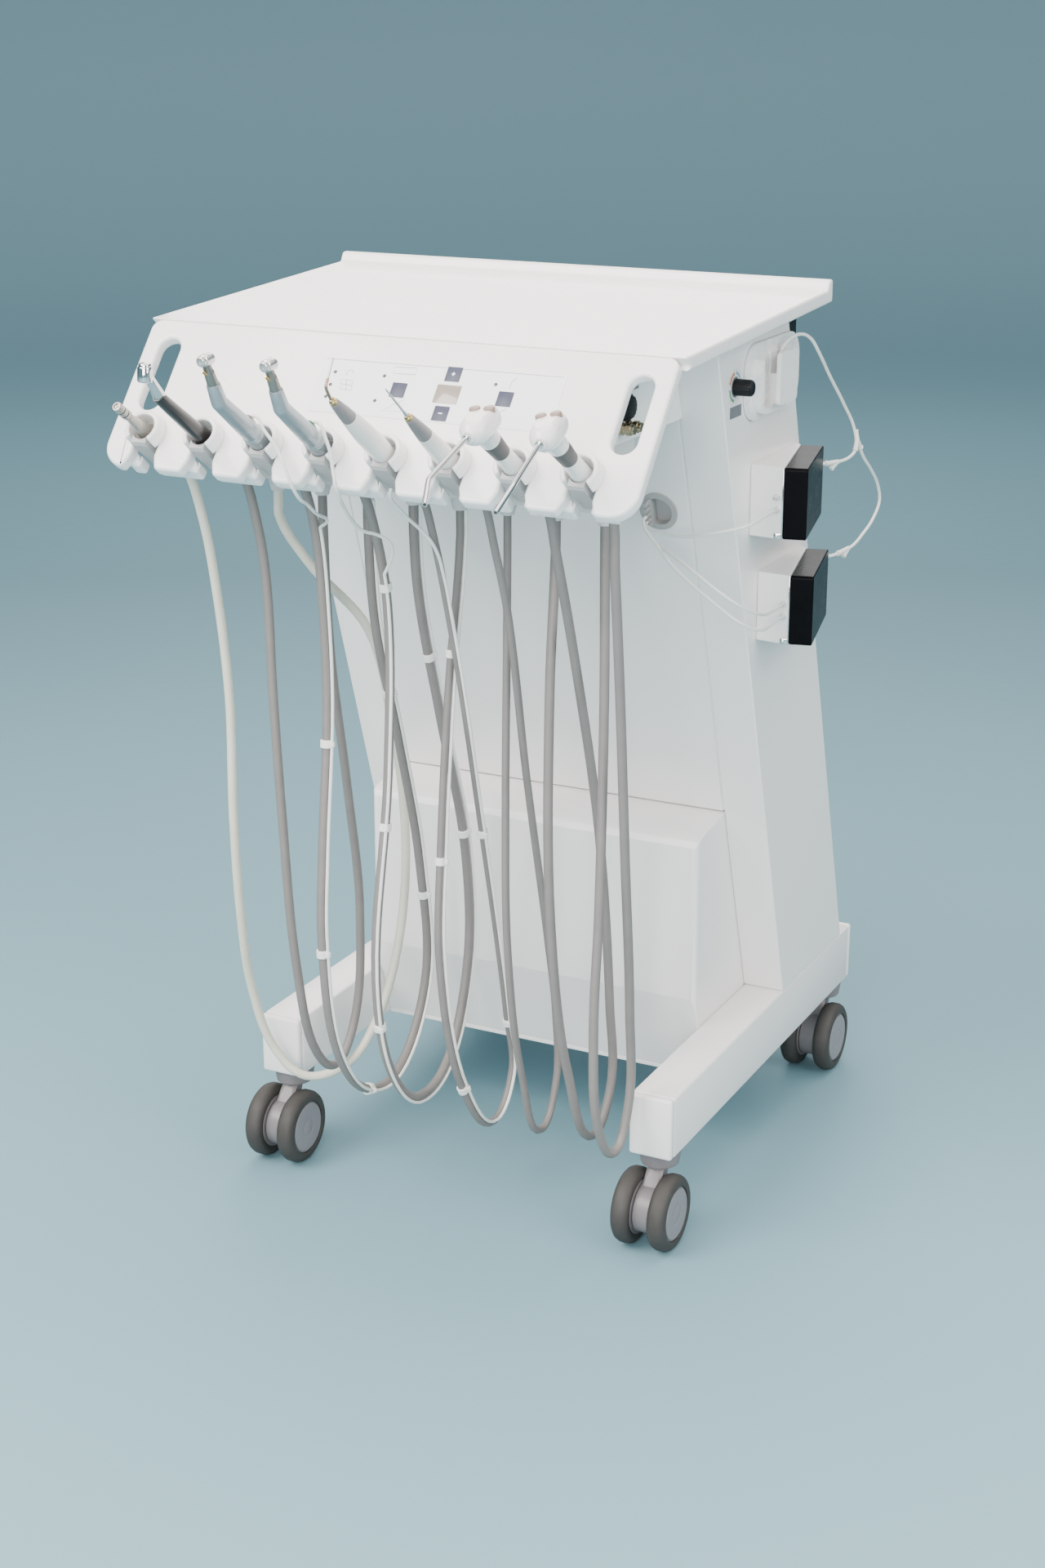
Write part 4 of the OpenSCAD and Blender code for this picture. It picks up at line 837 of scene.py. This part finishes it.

# ---- Air coupling ----
# The empty place on the left: a satin metal quick coupling whose nose, with two O-rings and a face of fine
# bores shown as dark discs of painted shade, waits for a turbine.

TAIL = [(0, -45), (8, -45), (9, -43), (9, -6)]
warm_metal = Finish("warm_satin_metal", Metallic=0.75)
warm_metal.show(warm_metal.between(warm_metal.grain(200, 3), (0.36, 0.33, 0.30), (0.46, 0.43, 0.39)),
                0.30 + warm_metal.grain(600, 2, (1, 1, 0.2)) * 0.14, warm_metal.grain(1500, 2), 0.0001, 0.1)
# Dark rubber for the O-rings; the same dark also fills bores as painted shade, on the coupling's face, in
# the turbine and at the syringe nozzles
rubber_and_bore_shade = Finish("o_ring_rubber_and_bore_shade")
rubber_and_bore_shade.vary((300, 3), (0.02, 0.018, 0.016), (0.05, 0.045, 0.04), (0.45, 0.1, 200))
coupling = bmesh.new()
turn(coupling, holder(0), TAIL + [(8.4, -2), (7, 1), (6.8, 5), (6.3, 11), (5.2, 19), (4.2, 26), (3.6, 30),
                                  (3.5, 34),
                                  (3.9, 35), (4.3, 36), (4.3, 39), (4.0, 39.3), (4.0, 40.7), (4.3, 41),
                                  (4.3, 45),
                                  (4.0, 45.3), (4.0, 46.7), (4.3, 47), (4.3, 52), (3.7, 53.4), (2.9, 53.4),
                                  (2.9, 52.2), (0, 52.2)])
piece("coupling_sleeve", coupling, warm_metal, "air_coupling_body", ("air_coupling",))
rings = bmesh.new()
for z in (40, 46):
    turn(rings, holder(0), [(3.9, z - 0.7), (4.26, z - 0.35), (4.29, z), (4.26, z + 0.35), (3.9, z + 0.7)],
         32)
# Four thin dark discs on the nose face: painted shade standing for its fine bores
for k in range(4):
    x, y = (0, 0) if k == 3 else (1.7 * cos(2 * pi * k / 3), 1.7 * sin(2 * pi * k / 3))
    turn(rings, holder(0) @ move(x, y, 52.15), [(0.6, 0), (0.6, 0.15), (0, 0.15)], 12)
piece("coupling_rings_and_bore_shade", rings, rubber_and_bore_shade, "air_coupling_body")

# ---- Turbine ----
# A high-speed handpiece: black coated handle, polished neck bent to the head, and the
# head itself with its push-button cap and the bore for the bur.

handle_coat = Finish("black_handle_coat", Coat_Weight=0.3, Coat_Roughness=0.15)
handle_coat.vary((60, 4), (0.007, 0.006, 0.006), (0.016, 0.014, 0.013), (0.26, 0.12, 250),
    (1200, 2, 0.0001, 0.12))
handle = bmesh.new()
turn(handle, holder(1), TAIL + [(8.9, -3), (8.3, 1), (8.1, 3), (7.8, 6), (7.3, 13), (6.9, 22), (6.6, 32),
                                (6.3, 42),
                                (6.0, 52), (5.8, 62), (5.5, 72), (5.3, 80), (4.7, 82), (0, 82)])
piece("turbine_handle", handle, handle_coat, "turbine_handpiece_body",
      ("turbine_handpiece",))
neck = bmesh.new()
turn(neck, holder(1) @ move(0, 0.5, 78) @ about("X", -17),
     [(0, 1), (5.0, 1), (4.95, 4), (4.6, 9), (4.1, 16), (3.7, 23), (3.5, 26), (0, 26)], 36)
HEAD = holder(1) @ move(0, 8, 107) @ about("X", -60)
turn(neck, HEAD, [(1.3, -7.2), (2.4, -8), (4.5, -8), (5.6, -7.4), (6.2, -6), (6.2, 3.6), (5.9, 4.4),
                  (5.2, 4.6), (5.2, 6.3),
                  (4.6, 7.3), (3.4, 7.9), (0, 8)], 40)
piece("turbine_head", neck, chrome, "turbine_handpiece_body")
# Dark plugs in the bur's bore and the spray port: painted shade in the holes
bores = bmesh.new()
turn(bores, HEAD @ move(0, 0, -7.3), [(0, 0), (1.35, 0), (1.35, 0.9), (0, 0.9)], 20)
turn(bores, holder(1) @ move(0, 4.6, 98) @ about("X", -100),
     [(0, -1.4), (1.0, -1.4), (1.0, 0.2), (0, 0.2)], 16)
piece("turbine_bore_shade", bores, rubber_and_bore_shade, "turbine_handpiece_body")

# ---- Contra-angles ----
# Two geared handpieces of blue-grey satin metal: a sleeve with a knurled ring, a handle
# with an elbow, a paler collar, and a bright head with its button. A clip holds the spray tube.

satin = Finish("blue_grey_satin_metal", Metallic=0.8)
satin.show(satin.between(satin.grain(120, 3), (0.29, 0.325, 0.345), (0.40, 0.435, 0.455)),
           0.30 + satin.grain(800, 2, (1, 1, 0.15)) * 0.12, satin.grain(1600, 2), 0.0001, 0.12)
collar_metal = Finish("collar_metal", Metallic=0.85)
collar_metal.vary((150, 3), (0.18, 0.178, 0.16), (0.26, 0.255, 0.23), (0.26, 0.12, 300))
bright = Finish("bright_head_metal", Metallic=0.8)
bright.vary((90, 3), (0.52, 0.51, 0.50), (0.62, 0.61, 0.60), (0.16, 0.1, 250),
    (900, 2, 0.0001, 0.06))
gold = Finish("gold_plate", Metallic=1.0)
gold.vary((200, 3), (0.42, 0.30, 0.12), (0.56, 0.43, 0.21), (0.2, 0.12, 300))
green_mark = printed("green_mark", (0.02, 0.16, 0.08), (0.05, 0.24, 0.13))
RING_Z = 37.7
for number, i in ((1, 2), (2, 3)):
    body = f"contra_angle_{number}_body"
    at = holder(i)
    handle = bmesh.new()
    turn(handle, at, TAIL + [(9, 3), (8.8, 12), (8.6, 19.6), (8.9, 20.2), (8.9, 21), (8.6, 21.3),
                             (8.6, 21.9), (8.9, 22.2),
                             (8.9, 22.8), (8.6, 23.1), (8.6, 23.5), (8.9, 23.8), (8.8, 24.6), (8.2, 25.2),
                             (8.05, 32),
                             (7.8, 44), (7.5, 56), (7.2, 66), (6.8, 80), (6.2, 82.9), (4.8, 84.9),
                             (0, 86.8)], 48)
    elbow = at @ move(0, 0, 80) @ about("X", -28)
    turn(handle, elbow, [(0, -0.4), (6.7, -0.4), (6.72, 0.2), (6.5, 5), (6.1, 11), (5.65, 17.4),
                         (5.3, 18.2), (0, 18.6)], 48)
    turn(handle, at, [(7.9, RING_Z - 0.3), (8.02, RING_Z - 0.2), (8.02, RING_Z + 0.2),
                      (7.9, RING_Z + 0.3)], 48)
    piece(f"contra_angle_{number}_handle", handle, satin, body, (f"contra_angle_{number}",))
    collar_part = bmesh.new()
    turn(collar_part, elbow, [(0, 18), (4.75, 18), (4.8, 19), (4.6, 22), (4.4, 27), (4.3, 29.8), (3.7, 31),
                              (3.6, 37), (0, 37)], 40)
    piece(f"contra_angle_{number}_collar", collar_part, collar_metal, body)
    head = bmesh.new()
    turn(head, elbow @ move(0, 1, 40) @ about("X", 68), [
        (0, -8), (3.2, -8), (3.6, -7.7), (4.7, -6.8), (5, -6.1), (5, 3.4), (4.8, 4.1), (4.2, 4.5),
        (4.2, 6.9), (3.6, 7.7),
        (3.0, 8), (1.4, 8), (1.2, 7.2), (0, 7.2)], 40)
    piece(f"contra_angle_{number}_head", head, bright, body)
    bit = bmesh.new()
    turn(bit, elbow @ move(0, -3.6, 29) @ about("X", 30), [(0, 0), (1.3, 0), (1.3, 5.6), (0.9, 7), (0, 7)],
         20)
    piece(f"contra_angle_{number}_spray_nozzle", bit, gold, body)
    clip = bmesh.new()
    block(clip, at @ move(0, 8.2, 34), (3.6, 4.4, 7.6), 0.5)
    turn(clip, at @ move(0, 8.4, 29) @ about("X", -8),
         [(0, -3.4), (1.9, -3.4), (1.9, 1.8), (1.5, 2.4), (0, 2.4)], 20)
    piece(f"contra_angle_{number}_tube_clip", clip, collar_metal if number == 1 else green_mark, body)

# ---- Scalers ----
# Two ultrasonic scalers: off-white handles, mauve-grey nose cones that unscrew, gilt
# collars and thin steel working tips.

ivory = Finish("off_white_handle", Coat_Weight=0.5, Coat_Roughness=0.1)
ivory.vary((35, 4), (0.72, 0.70, 0.67), (0.80, 0.78, 0.75), (0.26, 0.1, 90),
    (900, 2, 0.0001, 0.08))
mauve = Finish("mauve_grey_nose", Coat_Weight=0.3)
mauve.vary((60, 4), (0.155, 0.145, 0.149), (0.20, 0.188, 0.192), (0.34, 0.12, 120),
    (900, 2, 0.0001, 0.1))
copper = Finish("heat_tinted_steel", Metallic=1.0)
copper.vary((260, 3), (0.30, 0.19, 0.13), (0.42, 0.31, 0.24), (0.2, 0.1, 300))
SCALERS = (
    (4, [(9, 3), (9, 12), (9.3, 14), (9.4, 16), (9.35, 24), (9.1, 38), (8.9, 46), (8.0, 58), (7.0, 70),
         (6.55, 74.4), (0, 74.4)],
     [(0, 74), (6.35, 74.6), (6.3, 76), (5.9, 82), (5.1, 90), (4.3, 97), (3.9, 99.8), (3.3, 100.4),
      (0, 100.4)],
     [(0, 100), (3.2, 100), (3.2, 103), (2.8, 103.5), (2, 104), (1.8, 105.5), (0, 106)]),
    (5, [(9, 2), (8.85, 8), (8.6, 16), (8.1, 28), (7.4, 41), (6.65, 53), (6.5, 54.3), (0, 54.3)],
     [(0, 54), (6.35, 54.6), (6.3, 56), (5.9, 62), (5.1, 71), (4.3, 79), (3.9, 82.8), (3.3, 83.4),
      (0, 83.4)],
     [(0, 83), (3.2, 83), (3.2, 86), (2.8, 86.5), (2, 87), (1.8, 88.5), (0, 89)]))
for number, (i, handle_shape, nose_shape, base_shape) in enumerate(SCALERS, 1):
    body = f"scaler_{number}_body"
    for part, shape, finish, slot, stands in (
            ("handle", TAIL + handle_shape, ivory, "scaler_white", (f"scaler_{number}",)),
            ("nose", nose_shape, mauve, "scaler_white", ()), ("base", base_shape, gold, "brass", ())):
        bm = bmesh.new()
        turn(bm, holder(i), shape, 48)
        piece(f"scaler_{number}_{part}", bm, finish, body, stands)
tip = bmesh.new()
bend = [(0, 0, 104.5), (0, 0, 106), (0, 1.1, 110), (0, 2.3, 113.5), (0, 4, 117), (0, 7, 118.4),
        (0, 11, 118.6)]
line = smooth_path([holder(4) @ Vector(p) for p in bend], 4)
sweep(tip, line, 0.0013, 14)
piece("scaler_1_shank", tip, copper, "scaler_1_body")
for number, root, shape in (
        (1, holder(4) @ move(0, 10, 118.58) @ about("X", -88),
         [(0, 0), (1.05, 0), (0.9, 5), (0.65, 12), (0.45, 18), (0, 18.8)]),
        (2, holder(5) @ move(0, 0, 88) @ about("X", -3),
         [(0, 0), (1.6, 0), (1.5, 4), (1.0, 7), (0.95, 22), (0.55, 40), (0, 41.6)])):
    point = bmesh.new()
    turn(point, root, shape, 16)
    piece(f"scaler_{number}_point", point, steel, f"scaler_{number}_body")

# ---- Syringes ----
# Two three-way syringes: white handles with a dark grip band, a faceted head with two
# bronze-pink buttons, and a bent chromed nozzle that turns in the head.

syringe_white = Finish("syringe_white", Coat_Weight=0.5, Coat_Roughness=0.1)
syringe_white.vary((35, 4), (0.77, 0.755, 0.745), (0.85, 0.835, 0.825), (0.26, 0.1, 90),
    (900, 2, 0.0001, 0.08))
band_grey = Finish("grip_band")
band_grey.vary((90, 4), (0.07, 0.065, 0.063), (0.10, 0.094, 0.09), (0.46, 0.12, 200),
    (1200, 2, 0.0002, 0.2))
bronze = Finish("bronze_pink_button", Coat_Weight=0.3)
bronze.vary((200, 3), (0.24, 0.165, 0.14), (0.30, 0.215, 0.185), (0.34, 0.1, 250))
for k, (turn_deg, nozzle_turn) in enumerate(((6, -134), (14, 134))):
    name = f"syringe_{k + 1}"
    at = holder(6 + k) @ about("Z", turn_deg)
    head_frame = at @ move(0, 2, 78) @ about("X", 49.6)
    grip = bmesh.new()
    turn(grip, at, TAIL + [(8.4, 4), (8.1, 12), (7.8, 20), (7.5, 30), (7.45, 34.3), (0, 34.3)], 48)
    turn(grip, at, [(0, 56.7), (8.6, 56.7), (8.68, 57.4), (8.7, 70), (0, 70)], 48)
    piece(name + "_grip", grip, syringe_white, name + "_body")
    band = bmesh.new()
    turn(band, at, [(0, 34.3), (7.2, 34.3), (7.35, 34.8), (7.9, 44), (8.5, 56), (8.35, 56.7), (0, 56.7)],
         48)
    piece(name + "_band", band, band_grey, name + "_body")
    head = bmesh.new()
    shape = [(-17.5, 9.5), (-16.8, 10.7), (-15.5, 11.6), (-12, 12.2), (8, 12.2), (11, 11.8), (14, 11.2),
             (16.5, 9.9),
             (19, 8.4), (20.6, 6.9), (22, 5.2), (23.4, 4.7), (24.5, 4.6)]
    outline = []
    for z, r in shape:
        row = []
        for s in range(64):
            a = 2 * pi * s / 64
            x, y = r * cos(a), r * sin(a)
            row.append(head_frame @ Vector((max(-11.5, min(11.5, x)), min(9.5, y), z)))
        outline.append(row)
    skin(head, [[head_frame @ Vector((0, 0, -17.5))]] + outline + [[head_frame @ Vector((0, 0, 24.5))]])
    bmesh.ops.remove_doubles(head, verts=head.verts, dist=1e-6)
    # Raised ring round the nozzle's root
    turn(head, head_frame @ move(0, 1, 0),
         [(3.0, 23.6), (4.3, 23.8), (4.3, 24.4), (3.0, 24.5), (2.3, 24.2)], 32)
    piece(name + "_head", head, syringe_white, name + "_body", (name,), 28)
    for side, water in ((-1, "air"), (1, "water")):
        button = bmesh.new()
        turn(button, head_frame @ move(side * 6, 11, -9) @ about("X", 90),
             [(0, 0), (3.4, 0), (4.2, 0.35), (4.5, 1.0), (4.5, 4.6), (0, 4.6)], 32)
        piece(f"{name}_{water}_button_top", button, bronze, f"{name}_{water}_button_body",
              (f"{name}_{water}_button",))
    nozzle = bmesh.new()
    root = head_frame @ move(0, 1, 18.2) @ about("Z", nozzle_turn)
    end = root @ move(0, 0, 80) @ about("X", -20)
    path = [root @ Vector((0, 0, z)) for z in (0, 6, 20, 50, 76)] + [
        root @ Vector((0, 0.25, 80)), end @ Vector((0, 0, 4)), end @ Vector((0, 0, 16)),
        end @ Vector((0, 0, 29.6))]
    sweep(nozzle, smooth_path(path, 4), 0.0021, 20)
    turn(nozzle, root, [(2.0, 7), (3.0, 7), (3.2, 7.3), (3.2, 9.6), (3.0, 10), (2.0, 10)], 32)
    piece(name + "_nozzle_tube", nozzle, chrome, name + "_nozzle_body", (name + "_nozzle",))
    # A dark disc at the nozzle's tip: painted shade in its bore
    mouth = bmesh.new()
    turn(mouth, end @ move(0, 0, 29.4), [(1.2, 0), (1.2, 0.5), (0, 0.5)], 16)
    piece(name + "_nozzle_bore_shade", mouth, rubber_and_bore_shade, name + "_nozzle_body")
